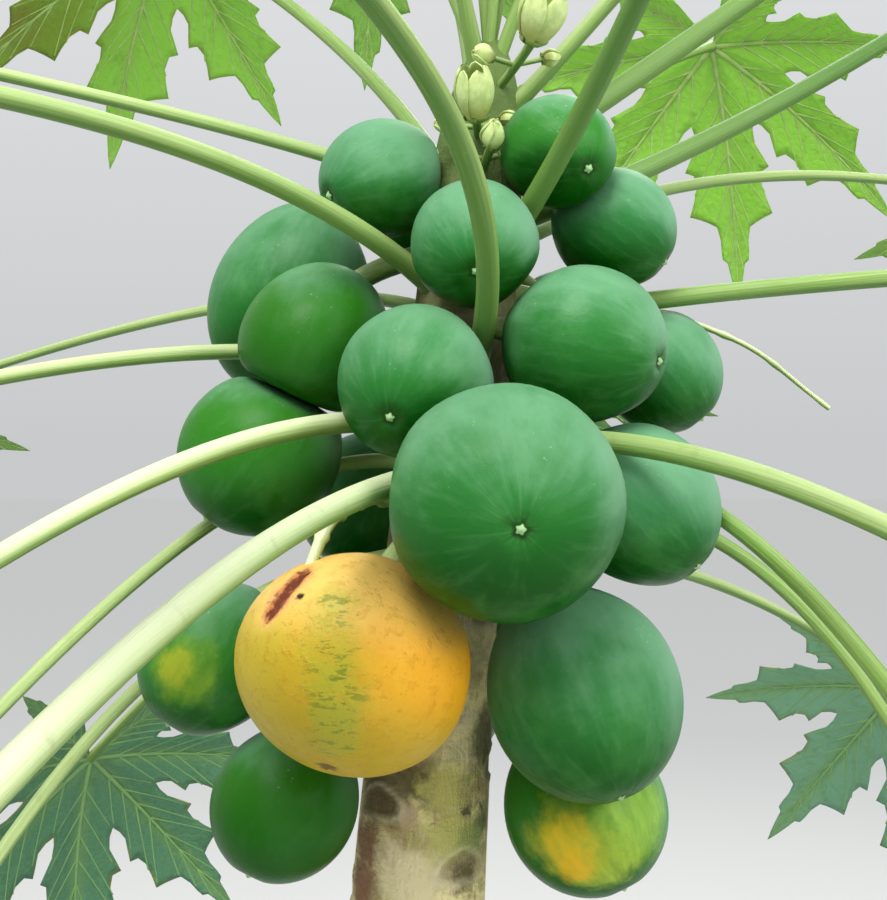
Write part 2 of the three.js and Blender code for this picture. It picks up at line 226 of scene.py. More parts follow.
# Each leaf: height where its stalk leaves the trunk, the way it sets out (turn, rise, distance), where it
# ends (turn, rise, distance), stalk width, blade radius, and the dip of the blade below level
Leaf = namedtuple("Leaf", "height set_out end stalk size dip")
LEAVES = {
    "leaf_01": Leaf(1282, (-17.5, -1, 441), (-12, -10, 965), 19, 245, 75),
    "leaf_02": Leaf(1312, (-47.4, 13.1, 286), (-41.9, -22.1, 866), 17, 290, 50),
    "leaf_03": Leaf(1175, (-123, 12.6, 287), (-52.9, -31.3, 538), 13, 260, 70),
    "leaf_04": Leaf(1282, (-137.2, 13, 300), (-47.3, -30.3, 706), 13, 270, 65),
    "leaf_05": Leaf(1354, (-121.5, 15.9, 318), (-51.5, -8.9, 780), 14, 280, 50),
    "leaf_06": Leaf(1399, (-155.5, 18.4, 342), (-128, -4.1, 890), 12, 280, 50),
    "leaf_07": Leaf(1404, (-50, 40, 270), (-49, 7, 834), 17, 300, 35),
    "leaf_08": Leaf(1489, (-138.8, 26.9, 212), (-81.7, 12, 857), 13, 300, 35),
    "leaf_09": Leaf(1316, (20.5, 38.4, 345), (-16, 22.1, 755), 18, 310, 20),
    "leaf_10": Leaf(1419, (41.3, 35.7, 199), (19.1, 34.2, 846), 18, 310, 20),
    "leaf_11": Leaf(1511, (100, 34, 250), (114, 35, 850), 20, 320, 25),
    "leaf_12": Leaf(1470, (96.8, 18, 257), (119, 28, 846), 18, 330, 30),
    "leaf_13": Leaf(1440, (124, 32, 295), (127, 9, 800), 12, 270, 45),
    "leaf_14": Leaf(1396, (91.7, 11.3, 258), (75.9, 2.9, 851), 16, 300, 40),
    "leaf_15": Leaf(1294, (39.8, 11.9, 337), (36.5, -16.2, 825), 17, 290, 50),
    "leaf_16": Leaf(1275, (117.4, 15.9, 303), (25.8, -21.6, 757), 15, 270, 65),
    "leaf_17": Leaf(1238, (91.8, 20.5, 325), (76.1, -42, 611), 13, 260, 65),
    "leaf_18": Leaf(1430, (155, 48, 260), (154, 27, 770), 15, 300, 50),
    "leaf_19": Leaf(1476, (-156.1, 49, 242), (-148.7, 32.8, 784), 15, 300, 35),
    "leaf_20": Leaf(1520, (178, 60, 260), (-171, 38, 800), 15, 300, 30),
    "leaf_21": Leaf(1185, (-149.7, 10, 271), (-141.9, -19.8, 671), 13, 280, 65),
    "leaf_22": Leaf(1182, (127.4, 24.9, 221), (133.8, -11.7, 717), 13, 280, 60),
    "leaf_23": Leaf(1351, (163.8, 54.1, 284), (172, 2, 860), 14, 290, 50),
}
YOUNG_LEAVES = {
    "young_leaf_01": Leaf(1560, (-20, 66, 220), (-28, 62, 640), 11, 170, 5),
    "young_leaf_02": Leaf(1575, (60, 70, 220), (62, 58, 600), 11, 160, 10),
    "young_leaf_03": Leaf(1588, (-120, 72, 200), (-112, 60, 560), 10, 150, 10),
    "young_leaf_04": Leaf(1600, (150, 78, 180), (140, 66, 500), 9, 130, 0),
    "young_leaf_05": Leaf(1606, (10, 82, 160), (30, 78, 420), 8, 100, 10),
}

# The heart of the crown: small leaves that stand upright on top of the trunk
HEART_LEAVES = {
    "heart_leaf_01": Leaf(1586, (-62, 78, 110), (-72, 74, 330), 9, 95, -10),
    "heart_leaf_02": Leaf(1590, (28, 80, 110), (20, 76, 290), 9, 85, -15),
    "heart_leaf_03": Leaf(1596, (172, 78, 100), (165, 74, 270), 8, 80, -15),
    "heart_leaf_04": Leaf(1600, (-14, 84, 90), (-24, 82, 240), 8, 68, -30),
    "heart_leaf_05": Leaf(1604, (96, 80, 90), (88, 77, 220), 7, 62, -30),
    "heart_leaf_06": Leaf(1608, (-138, 82, 80), (-150, 80, 190), 7, 54, -45),
    "heart_leaf_07": Leaf(1613, (42, 86, 70), (55, 84, 160), 6, 44, -60),
    "heart_leaf_08": Leaf(1616, (-84, 86, 60), (-95, 85, 130), 6, 36, -70),
    "heart_leaf_09": Leaf(1620, (150, 88, 50), (150, 86, 100), 5, 30, -75),
    "heart_leaf_10": Leaf(1545, (76, 44, 150), (72, 46, 400), 14, 105, 0),
}

# How far a leaf is from mid green: towards yellow above 0, towards blue below. Partly the leaf's own green,
# partly painted light: above 0 the sun shining through the leaf, below 0 painted shade
TINTS = {
    "leaf_03": -0.8,
    "leaf_04": -0.5,
    "leaf_21": -0.9,
    "leaf_22": -0.9,
    "leaf_11": 0.7,
    "leaf_12": 0.8,
    "leaf_13": 0.5,
    "leaf_18": 1.0,
    "leaf_19": 0.9,
    "leaf_20": 0.6,
    "young_leaf_01": 0.8,
    "young_leaf_02": 0.8,
    "young_leaf_03": 0.8,
    "young_leaf_04": 0.9,
    "young_leaf_05": 1.0,
    **dict.fromkeys(HEART_LEAVES, 0.9),
}

# How pale the top of a leaf's stalk is: partly bleached by the sun, partly painted light on its top. Below
# 0, the stalk is a deeper green, painted shade
BLEACH_AND_LIGHT = 0.35
BLEACH_AND_LIGHT_BY_LEAF = {
    "leaf_01": 1.0,
    "leaf_02": 1.0,
    "leaf_05": 0.7,
    "leaf_07": 0.25,
    "leaf_09": 0.1,
    "leaf_10": -0.8,
    "leaf_11": -0.7,
    "leaf_12": -0.9,
    "leaf_14": -0.2,
    "leaf_16": -0.4,
    "leaf_17": -0.3,
    "leaf_18": 0.0,
    "leaf_19": -0.3,
    "heart_leaf_10": 0.6,
}

# How far a leaf is glazed with pale light from the sky
GLAZED = {"leaf_22": 0.7, "leaf_21": 0.15}

# How green a fruit is: less bloom and a yellower green above 0, more bloom and a bluer green below, and
# above 1 its lower side is darker too. The values also paint each fruit's light: more bloom is painted light
# on a lit top, and the darker lower side is painted shade
FRUIT_TONE_AND_LIGHT = {
    "fruit_02": 0.1,
    "fruit_03": -0.15,
    "fruit_04": 1.5,
    "fruit_05": 0.05,
    "fruit_06": -0.4,
    "fruit_07": -0.5,
    "fruit_08": 0.6,
    "fruit_09": -0.4,
    "fruit_10": -0.5,
    "fruit_11": -0.6,
    "fruit_12": 0.9,
    "fruit_14": -0.2,
    "fruit_15": 0.9,
    "fruit_16": 1.6,
    "fruit_17": 0.5,
}

# Old flower stalks that stay, dry and pale, beside a fruit: foot, bend, end and thickness
OLD_FLOWER_STALKS = {
    "fruit_10": ((66, 0, 1420), (250, 60, 1448), (361, 20, 1333), 6.4),
    "fruit_13": ((50, 0, 1240), (-24, -128, 1300), (-46, -158, 1212), 14),
}
OLD_STALK_POINTS = 40
OLD_STALK_SIDES = 10
OLD_STALK_SWAY = 1.6
OLD_STALK_TAPER = 0.44
OLD_STALK_KNOTS = 0.35

# The ripe fruit's bruise, as centres and radii, and the speck beside it
BRUISE = [
    ((-48, -174, 1215), 8.5),
    ((-53, -179, 1208), 10),
    ((-58, -183, 1201), 10),
    ((-63, -186, 1195), 9),
    ((-67, -188, 1189), 7),
]
BRUISE_SPECK = (-47, -195, 1201)

# Coats of the bruise, as (how much wider than the bruise, how ragged, share, colour)
BRUISE_COATS = [
    (9, 1.2, 0.5, (0.780, 0.400, 0.160)),
    (3, 1.2, 0.6, (0.560, 0.150, 0.020)),
    (0, 2.2, 1.0, (0.150, 0.024, 0.005)),
]

# The ripe fruit's band of green flecks, as centres and radii
GREEN_BAND = [
    ((-25, -205, 1193), 24),
    ((-24, -219, 1165), 30),
    ((-22, -222, 1137), 32),
    ((-24, -212, 1108), 28),
]

# Marks on the bark, among them painted shade round the fruit and down the trunk's edges and a painted patch
# of light on its front; a leaf that withers and the turning sides of two fruit, as (centre, radius, colour)
BARK_MARKS_AND_PAINTED_LIGHT = [
    # Painted shade under the ripe fruit and down the trunk's right edge
    ((8, -43, 1040), 36, (0.070, 0.050, 0.016)),
    ((36, -51, 1046), 24, (0.130, 0.100, 0.026)),
    ((84, -20, 1075), 34, (0.090, 0.085, 0.026)),
    ((82, -24, 1012), 18, (0.090, 0.120, 0.026)),
    # A dark olive-brown patch low on the front
    ((64, -40, 972), 20, (0.090, 0.070, 0.020)),
    # Dark red-brown down the left edge: the bark's own colour, darkened as painted shade
    ((-10, -28, 993), 26, (0.220, 0.085, 0.038)),
    ((-12, -28, 962), 26, (0.240, 0.100, 0.050)),
    # A painted patch of light on the trunk's front
    ((27, -52, 968), 44, (0.940, 0.800, 0.500)),
    # Pinkish, yellow-tan and green patches, and a dark speck
    ((20, -50, 1021), 13, (0.640, 0.460, 0.300)),
    ((50, -49, 1043), 24, (0.640, 0.590, 0.170)),
    ((52, -48, 1005), 32, (0.620, 0.590, 0.170)),
    ((70, -32, 998), 18, (0.330, 0.400, 0.110)),
    ((66, -39, 1022), 7, (0.030, 0.028, 0.012)),
]
WITHERING = [
    ((-430, 560, 1790), 150, (0.210, 0.240, 0.014)),
    ((-470, 560, 1810), 70, (0.230, 0.150, 0.020)),
]
TURNING_LOW = [
    ((194, -88, 1034), 50, (0.400, 0.640, 0.100)),
    ((170, -96, 995), 36, (0.420, 0.560, 0.060)),
    ((140, -97, 1008), 44, (0.460, 0.480, 0.030)),
    ((139, -97, 1012), 29, (0.780, 0.540, 0.024)),
    ((146, -90, 992), 20, (0.820, 0.480, 0.020)),
]
TURNING_SIDE = [
    ((-146, -99, 1138), 36, (0.180, 0.330, 0.025)),
    ((-149, -98, 1140), 21, (0.400, 0.420, 0.030)),
]

# Fruit that isn't plain green: its skin and its slot
TURNING = {
    RIPE_FRUIT: ("ripe", "ripe_skin"),
    "fruit_15": ("low", "turning_skin"),
    "fruit_17": ("side", "turning_skin"),
}

# Flowers: height of the foot on the trunk, where the petals start (turn, rise, distance), the way the
# flower points (turn, rise), its radius at the petals' waist, its length, and how far it is open (0 to 1)
FLOWERS = {
    "flower_bud_01": (1545, (-4, 3, 68), (-6, 52), 14, 46, 0.22),
    "flower_bud_02": (1575, (29, 25, 78), (24, 50), 17, 48, 0.30),
    "flower_bud_03": (1514, (7, 10, 76), (7, 40), 8, 24, 0.0),
}
PETALS = 5
PETAL_ROWS = 15
PETAL_COLUMNS = 9
PETAL_THICKNESS = 1.6
FLOWER_STALK_RADIUS = 3.6
FLOWER_STALK_SAG = 4
FLOWER_STALK_SIDES = 10

# A flower's side buds: turn off the flower's way, rise, and radius as a share of the flower's
SIDE_BUDS = ((-75, 5, 0.42), (80, 15, 0.34))
SIDE_BUD_LENGTH = 2.6
SIDE_BUD_REACH = 1.35
SIDE_BUD_STALK = 0.6

FLOOR_REACH = 40000


def heading(turn, rise):
    """A unit vector: turn is taken round the trunk from the front towards +X, rise is above level."""
    turn, rise = math.radians(turn), math.radians(rise)
    return np.array((math.sin(turn) * math.cos(rise), -math.cos(turn) * math.cos(rise), math.sin(rise)))


def offset(turn, rise, distance):
    return heading(turn, rise) * distance


def trunk_axis(z):
    return np.array((TRUNK_BOW * (z / TRUNK_TOP) ** 2, 0, z))


def trunk_radius(z):
    stem = TRUNK_FOOT_RADIUS - TRUNK_TAPER * z + FLARE_WIDTH * np.exp(-z / FLARE_HEIGHT)
    in_dome = np.maximum(0, z - (TRUNK_TOP - DOME_HEIGHT)) / DOME_HEIGHT
    return stem * np.sqrt(np.maximum(0, 1 - in_dome**2))


def bend_through(foot, bend, end, count):
    """Points on the curve from foot to end that sets out towards bend."""
    t = np.linspace(0, 1, count)[:, None]
    return foot * (1 - t) ** 2 + 2 * t * (1 - t) * bend + t * t * end


# Camera, made before anything else
camera = bpy.data.objects.new("camera", bpy.data.cameras.new("camera"))
camera.data.sensor_width = SENSOR
camera.data.lens = SENSOR * FOCAL_PIXELS / FRAME_SIDE
camera.data.clip_start = 0.02
camera.location = (CAMERA_X * MM, -CAMERA_DISTANCE * MM, CAMERA_HEIGHT * MM)
camera.rotation_euler = (math.pi / 2, 0, 0)
bpy.context.scene.collection.objects.link(camera)
bpy.context.scene.camera = camera


class Amount:
    """A number that varies over a surface. Sums of amounts add the nodes that work them out."""

    def __init__(self, finish, socket):
        self.finish = finish
        self.socket = socket

    def combine(self, operation, *values):
        places = dict(enumerate(values))
        return self.finish.amount("Math", {"operation": operation}, places)

    def __add__(self, other):
        return self.combine("ADD", self, other)

    __radd__ = __add__

    def __sub__(self, other):
        return self.combine("SUBTRACT", self, other)

    def __rsub__(self, other):
        return self.combine("SUBTRACT", other, self)

    def __neg__(self):
        return 0 - self

    def __mul__(self, other):
        return self.combine("MULTIPLY", self, other)

    __rmul__ = __mul__

    def over(self, low, high):
        """A smooth step that is 0 at low and 1 at high."""
        settings = {"interpolation_type": "SMOOTHSTEP"}
        return self.finish.amount("MapRange", settings, {0: self, 1: low, 2: high})

    def under(self, low, high):
        """A smooth step that is 1 at low and 0 at high."""
        return 1 - self.over(low, high)

    def most(self, other):
        return self.combine("MAXIMUM", self, other)


class Finish:
    """A material, built up from nodes."""

    def __init__(self, name):
        self.material = bpy.data.materials.new(name)
        self.material.use_nodes = True
        self.tree = self.material.node_tree
        self.tree.nodes.clear()
        self.colour = None

    def add(self, kind, settings=None, sockets=None):
        node = self.tree.nodes.new("ShaderNode" + kind)
        for key, value in (settings or {}).items():
            setattr(node, key, value)
        for key, value in (sockets or {}).items():
            if isinstance(value, Amount):
                value = value.socket
            if isinstance(value, bpy.types.NodeSocket):
                self.tree.links.new(value, node.inputs[key])
            else:
                node.inputs[key].default_value = value
        return node

    def amount(self, kind, settings=None, sockets=None, output=0):
        return Amount(self, self.add(kind, settings, sockets).outputs[output])

    def place(self):
        return self.add("TexCoord").outputs["Object"]

    def mapped(self, vector, scale):
        return self.add("Mapping", {}, {"Vector": vector, "Scale": scale}).outputs[0]

    def measure(self, name):
        return self.amount("Attribute", {"attribute_name": name}, {}, "Fac")

    def direction(self, name):
        return self.add("Attribute", {"attribute_name": name}).outputs["Vector"]

    def facing(self, axis):
        """How far the surface faces along an axis, from -1 to 1."""
        normal = self.add("NewGeometry").outputs["Normal"]
        return self.amount("SeparateXYZ", {}, {0: normal}, axis)

    def noise(self, vector, scale, detail=3, roughness=0.55, distortion=0.0):
        sockets = {"Vector": vector, "Scale": scale, "Detail": detail}
        sockets.update({"Roughness": roughness, "Distortion": distortion})
        return self.amount("TexNoise", {}, sockets)

    def cells(self, vector, scale, feature="F1"):
        return self.amount("TexVoronoi", {"feature": feature}, {"Vector": vector, "Scale": scale})

    def blend(self, share, first, second):
        settings = {"data_type": "RGBA", "clamp_factor": True}
        first, second = (c if isinstance(c, bpy.types.NodeSocket) else (*c, 1) for c in (first, second))
        return self.add("Mix", settings, {0: share, 6: first, 7: second}).outputs[2]

    def coat(self, share, shade):
        """Lays a shade over the colour so far."""
        self.colour = self.blend(share, self.colour, shade)

    def spot(self, centre, radius, torn=1.2):
        """1 at a place on the surface and 0 further off than radius, with a ragged edge."""
        at = [c * MM for c in centre]
        away = self.amount("VectorMath", {"operation": "DISTANCE"}, {0: self.place(), 1: at}, 1)
        ragged = away + (self.noise(self.place(), 1600 / radius, 4, 0.65) - 0.5) * (torn * radius * MM)
        return ragged.under(radius * MM * 0.35, radius * MM)

    def shade(self, roughness, height=None, relief=0.0, through=None, shine=0.5):
        """Ends the material in the colour so far. A leaf also lets light through, in the colour through."""
        sockets = {"Base Color": self.colour, "Roughness": roughness, "Specular IOR Level": shine}
        if height is not None:
            bump = self.add("Bump", {}, {"Height": height, "Distance": relief, "Strength": 1.0})
            sockets["Normal"] = bump.outputs[0]
        shader = self.add("BsdfPrincipled", {}, sockets).outputs[0]
        if through is not None:
            behind = self.add("BsdfTranslucent", {}, {"Color": through}).outputs[0]
            shader = self.add("MixShader", {}, {0: 0.35, 1: shader, 2: behind}).outputs[0]
        self.add("OutputMaterial", {}, {"Surface": shader})
        return self.material


def fruit_skin(name, ripening=()):
    """Green skin under a pale waxy bloom, with ripening spots (centre, radius, colour). The bloom is painted
    paler on top and on the sides as light from the sky, with a painted highlight on the right rim, and the
    lower side is a darker green of painted shade.
    """
    f = Finish(name)
    grain = f.direction("grain")
    up = f.facing("Z")
    right = f.facing("X")
    tone = f.measure("tone")
    streaks = f.noise(f.mapped(grain, (1, 1, 0.35)), 5.0, 4, 0.6)
    fine = f.noise(f.place(), 260, 3, 0.6)
    broad = f.noise(f.place(), 20, 4, 0.6)
    # Painted shade: the skin is a near black green where it faces down and a mid green where it faces up
    f.colour = f.blend(up.over(-0.80, 0.25), (0.002, 0.080, 0.000), (0.025, 0.176, 0.032))
    rich = tone.over(0.0, 1.0)
    pale = (-tone).over(0.0, 1.0)
    f.coat(rich * 0.75 * up.over(-0.9, 0.4), (0.034, 0.200, 0.006))
    f.coat(pale * 0.6 * up.over(-0.7, 0.2), (0.040, 0.225, 0.085))
    f.coat(broad.over(0.45, 0.70) * 0.4, (0.060, 0.250, 0.050))
    f.coat(streaks.over(0.50, 0.70) * 0.22, (0.080, 0.260, 0.080))
    # The bloom: the skin's own wax, painted palest on top and on the sides as the sky's light and reflection
    bloom_and_sky_light = up * 0.66 + (broad - 0.5) * 0.9 + (streaks - 0.5) * 0.5
    bloom_and_sky_light = bloom_and_sky_light - rich * (1 - up.over(0.3, 0.9) * 0.7) * 0.45 + pale * up.over(-0.7, 0.2) * 0.4
    bloom_and_sky_light = bloom_and_sky_light + right.over(0.25, 1.0) * 0.36 + (-right).over(0.5, 1.0) * 0.14
    f.coat(bloom_and_sky_light.over(-0.10, 0.80) * 0.86, (0.148, 0.345, 0.192))
    # A painted highlight on the rim that faces +X
    f.coat(right.over(0.60, 1.0) * up.over(-0.5, 0.4) * 0.5, (0.300, 0.540, 0.370))
    # Painted shade: fruit with a tone above 1 are darker on their lower side
    painted_shade = tone.over(1.0, 1.8) * up.under(-0.1, 0.9)
    f.coat(painted_shade * 0.75, (0.010, 0.090, 0.002))
    freckles = f.cells(f.place(), 170).under(0.05, 0.20)
    patch = f.noise(f.place(), 34, 2).over(0.54, 0.62)
    f.coat(freckles * patch * up.over(-0.3, 0.6) * 0.35, (0.330, 0.560, 0.380))
    for centre, radius, shade in ripening:
        f.coat(f.spot(centre, radius) * (0.7 + (streaks - 0.5) * 1.2), shade)
    star = f.measure("star")
    rays = f.noise(f.mapped(grain, (1, 1, 0)), 3.2, 2, 0.6).over(0.46, 0.60)
    f.coat(star.under(0.8, 2.0) * rays * 0.75, (0.020, 0.085, 0.012))
    f.coat(star.under(0.50, 1.05), (0.012, 0.050, 0.006))
    f.coat(star.under(0.34, 0.50), (0.360, 0.600, 0.270))
    height = fine * 0.35 + streaks * 0.6 + broad * 0.6
    roughness = 0.36 + (streaks - 0.5) * 0.25 + bloom_and_sky_light.over(0.0, 0.8) * 0.14
    return f.shade(roughness, height, 0.0007, shine=0.13)


def ripe_skin():
    """Ripe skin: orange on one side, olive yellow below, with a band of green flecks and a torn bruise. The
    top is paler as painted light, and the olive below is darkened as painted shade.
    """
    f = Finish("ripe papaya skin")
    where = f.place()
    streaks = f.noise(f.mapped(f.direction("grain"), (1, 1, 0.3)), 6.0, 4, 0.65)
    broad = f.noise(where, 30, 4, 0.65)
    fine = f.noise(where, 300, 3, 0.6)
    f.colour = f.blend(broad.over(0.36, 0.66), (0.640, 0.330, 0.012), (0.700, 0.430, 0.030))
    f.coat(f.facing("X").over(-0.1, 0.7) * 0.75, (0.950, 0.420, 0.014))
    f.coat((-f.facing("X")).over(0.10, 0.70) * 0.8, (0.560, 0.440, 0.024))
    # Painted light: the top is a paler peach
    f.coat(f.facing("Z").over(0.10, 0.85) * 0.8, (0.960, 0.620, 0.170))
    # Below, a darker olive: the skin's own olive, darkened as painted shade
    f.coat((-f.facing("Z")).over(0.05, 0.80) * 0.8, (0.460, 0.340, 0.000))
    mottle = f.noise(where, 110, 4, 0.7).over(0.50, 0.68)
    f.coat(mottle * 0.35, (0.560, 0.270, 0.008))
    dashes = f.noise(f.mapped(where, (0.5, 0.5, 1.5)), 150, 3, 0.7).over(0.54, 0.62)
    for centre, radius in GREEN_BAND:
        band = f.spot(centre, radius)
        f.coat(band * (0.55 + (broad - 0.5) * 1.4), (0.400, 0.400, 0.025))
        f.coat(band * dashes * 0.6, (0.120, 0.200, 0.012))
    for wider, torn, share, shade in BRUISE_COATS:
        for centre, radius in BRUISE:
            f.coat(f.spot(centre, radius + wider, torn) * share, shade)
    f.coat(f.spot(BRUISE_SPECK, 4.5), (0.012, 0.010, 0.006))
    freckles = f.cells(where, 150).under(0.05, 0.17)
    f.coat(freckles * 0.4, (0.420, 0.190, 0.012))
    star = f.measure("star")
    f.coat(star.under(0.7, 1.2), (0.220, 0.120, 0.020))
    height = fine * 0.5 + streaks * 0.5 + mottle * 0.5
    return f.shade(0.44 + (fine - 0.5) * 0.2, height, 0.0008, shine=0.3)


def stalk_skin():
    """Leaf and fruit stalks: pale green, streaked along their length, paler on top, partly bleached and
    partly painted light, darker below as painted shade, and with a painted highlight along the side facing
    +X.
    """
    f = Finish("papaya stalk")
    up = f.facing("Z")
    streaks = f.noise(f.direction("grain"), 3.0, 4, 0.65)
    blotches = f.noise(f.place(), 45, 3, 0.6)
    f.colour = f.blend(streaks.over(0.35, 0.65), (0.190, 0.350, 0.060), (0.370, 0.510, 0.150))
    bleach_and_light = f.measure("bleach_and_light")
    # Painted shade below 0: a deeper green
    f.coat((-bleach_and_light).over(0.0, 1.0), (0.075, 0.200, 0.020))
    # Painted light on the top, partly the stalk's own bleached paleness
    f.coat(up.over(-0.50, 0.55) * bleach_and_light, (0.740, 0.820, 0.450))
    # Painted shade on the underside
    f.coat(up.under(-0.85, -0.10) * 0.8, (0.045, 0.145, 0.014))
    f.coat(streaks.over(0.55, 0.75) * 0.3, (0.300, 0.430, 0.100))
    # A painted highlight along the side that faces +X
    right_highlight = f.facing("X").over(0.45, 0.85) * f.facing("X").under(0.85, 1.0)
    f.coat(right_highlight * up.over(-0.5, 0.2) * 0.35, (0.640, 0.800, 0.340))
    f.coat(blotches.over(0.60, 0.74) * 0.3, (0.260, 0.300, 0.090))
    white = bleach_and_light.over(0.5, 1.0)
    # Darker green towards the foot, among the fruit: partly the stalk's own green, partly painted shade
    foot = f.measure("along").under(0.10, 0.70)
    f.coat(foot * (0.6 - white * 0.25), (0.210, 0.350, 0.080))
    # A painted highlight on top of the palest stalks
    f.coat(white * up.over(0.05, 0.85) * 0.35, (0.820, 0.850, 0.660))
    return f.shade(0.48, streaks, 0.0008)


def blade_skin():
    """Leaf blades: darker on top, paler below, each leaf with its own tint, which also paints sun shining
    through it above 0 and shade below 0, and a net of fine veins.
    """
    f = Finish("papaya leaf blade")
    tint = f.measure("tint")
    under = f.measure("under")
    cloud = f.noise(f.place(), 18, 3, 0.55)
    mid = f.blend(cloud.over(0.3, 0.7), (0.060, 0.215, 0.022), (0.105, 0.320, 0.040))
    # Above 0 the tint paints sun shining through: a yellower top and a glowing underside; below 0 painted
    # shade
    top = f.blend(tint.over(0.0, 1.0), mid, (0.170, 0.400, 0.050))
    top = f.blend((-tint).over(0.0, 1.0), top, (0.030, 0.150, 0.065))
    below = f.blend(tint.over(0.0, 1.0), mid, (0.360, 0.780, 0.060))
    below = f.blend((-tint).over(0.0, 1.0), below, (0.030, 0.180, 0.085))
    dull = f.blend(tint.over(-1.0, 0.4), (0.130, 0.330, 0.190), (0.360, 0.540, 0.220))
    below = f.blend(0.4 - tint.over(0.3, 1.0) * 0.28, below, dull)
    f.colour = f.blend(under, top, below)
    f.coat(f.measure("glaze") * (0.6 + cloud * 0.6), (0.330, 0.640, 0.450))
    for centre, radius, shade in WITHERING:
        f.coat(f.spot(centre, radius, 0.8) * 0.8, shade)
    near_rib = f.measure("rib").under(0.0, 0.055)
    f.coat(near_rib * 0.35, (0.340, 0.520, 0.130))
    drift = f.noise(f.place(), 60, 2)
    net = f.cells(f.place(), 280, "DISTANCE_TO_EDGE").under(0.0, 0.12)
    mesh = f.cells(f.place(), 120, "DISTANCE_TO_EDGE").under(0.0, 0.07)
    puffed = f.cells(f.place(), 120).over(0.0, 0.8)
    f.coat((mesh * 0.8).most(net * 0.45) * (0.10 + drift * 0.35), (0.330, 0.540, 0.140))
    f.coat(drift.over(0.55, 0.75) * 0.2, (0.030, 0.120, 0.020))
    edge = f.measure("margin").over(0.88, 1.0)
    f.coat(edge * cloud.over(0.50, 0.62) * 0.6, (0.420, 0.380, 0.060))
    spots = f.cells(f.place(), 38).under(0.04, 0.11)
    f.coat(spots * cloud.over(0.48, 0.60) * 0.6, (0.300, 0.230, 0.060))
    glow = f.blend(tint.over(-0.6, 0.9), (0.060, 0.300, 0.090), (0.420, 0.760, 0.050))
    through = f.blend(0.5, f.colour, glow)
    return f.shade(0.46 + (cloud - 0.5) * 0.2, puffed + mesh * 0.25 + net * 0.15, -0.0008, through)


def vein_skin():
    f = Finish("papaya leaf vein")
    streaks = f.noise(f.place(), 70, 3)
    f.colour = f.blend(streaks.over(0.35, 0.65), (0.27, 0.44, 0.10), (0.38, 0.54, 0.16))
    # Below 0 the leaf's tint paints shade on the veins too: a bluer, darker green
    f.coat((-f.measure("bleach_and_light")).over(0.0, 1.0) * 0.75, (0.130, 0.310, 0.120))
    return f.shade(0.5, streaks, 0.0004)


def bark():
    """Trunk: tan bark blotched with olive and brown, darker leaf scars, fine cracks, and a green top, with
    painted shade among and under the fruit and down its sides, and a painted patch of light on its front.
    """
    f = Finish("papaya bark")
    where = f.place()
    cracks = f.noise(f.mapped(where, (1, 1, 0.16)), 120, 5, 0.7)
    bands = f.noise(f.mapped(where, (0.35, 0.35, 1.6)), 34, 4, 0.6)
    patches = f.noise(where, 22, 5, 0.65, 0.6)
    blotches = f.noise(where, 46, 4, 0.7, 0.8)
    grit = f.noise(where, 420, 3, 0.6)
    f.colour = f.blend(patches.over(0.38, 0.58), (0.450, 0.335, 0.130), (0.940, 0.820, 0.400))
    f.coat(blotches.over(0.52, 0.62) * 0.65, (0.420, 0.430, 0.130))
    f.coat(bands.over(0.50, 0.66) * 0.4, (0.620, 0.520, 0.360))
    f.coat(blotches.under(0.34, 0.42) * 0.6, (0.110, 0.060, 0.028))
    lichen = f.noise(where, 70, 4, 0.65).over(0.60, 0.67)
    f.coat(lichen * 0.5, (0.640, 0.640, 0.500))
    f.coat(cracks.over(0.56, 0.72) * 0.55, (0.105, 0.062, 0.030))
    height = f.amount("SeparateXYZ", {}, {0: where}, "Z")
    old = height.under(0.45, 0.98)
    f.coat(old * (0.50 + (patches - 0.5) * 0.8), (0.400, 0.345, 0.250))
    # Red-brown patches on the -X side: partly the bark's own stain, partly painted shade down that side
    rust_and_side_shade = (-f.facing("X")).over(0.45, 1.0) * blotches.over(0.38, 0.60)
    f.coat(rust_and_side_shade * 0.65, (0.220, 0.085, 0.034))
    for centre, radius, shade in BARK_MARKS_AND_PAINTED_LIGHT:
        f.coat(f.spot(centre, radius, 1.8) * 0.85, shade)
    scar = f.measure("scar")
    f.coat(scar * (0.35 + grit * 0.4), (0.150, 0.100, 0.052))
    bundles = f.cells(where, 210).under(0.10, 0.26)
    f.coat(scar * bundles * 0.6, (0.420, 0.350, 0.200))
    f.coat(f.measure("rim") * 0.6, (0.680, 0.600, 0.400))
    # Painted shade where the fruit crowd round the trunk; above it the top's own green, darkened as painted
    # shade
    f.coat(height.over(1.06, 1.22) * 0.75, (0.085, 0.088, 0.032))
    f.coat(height.over(1.34, 1.56) * 0.9, (0.110, 0.190, 0.040))
    relief = cracks * -0.8 + bands * 0.5 + grit * 0.25 + blotches * 0.5
    return f.shade(0.78 + (patches - 0.5) * 0.2, relief, 0.0035)


def petal_skin():
    """Cream petals, brownish towards their foot."""
    f = Finish("papaya flower petal")
    cloud = f.noise(f.place(), 120, 3)
    along = f.measure("along")
    f.colour = f.blend(cloud.over(0.35, 0.65), (0.530, 0.650, 0.235), (0.690, 0.800, 0.350))
    f.coat(along.under(0.15, 0.60) * 0.8, (0.400, 0.380, 0.110))
    f.coat(along.under(0.02, 0.10), (0.170, 0.260, 0.050))
    veins = f.noise(f.mapped(f.place(), (1, 1, 0.3)), 500, 3)
    f.coat(veins.over(0.55, 0.70) * 0.3, (0.480, 0.540, 0.180))
    return f.shade(0.5, cloud + veins * 0.5, 0.0005)


def floor_skin():
    f = Finish("studio floor")
    f.colour = (0.59, 0.59, 0.58, 1)
    return f.shade(0.9)


def place_piece(name, mesh):
    piece = bpy.data.objects.new(name, mesh)
    bpy.context.scene.collection.objects.link(piece)
    return piece


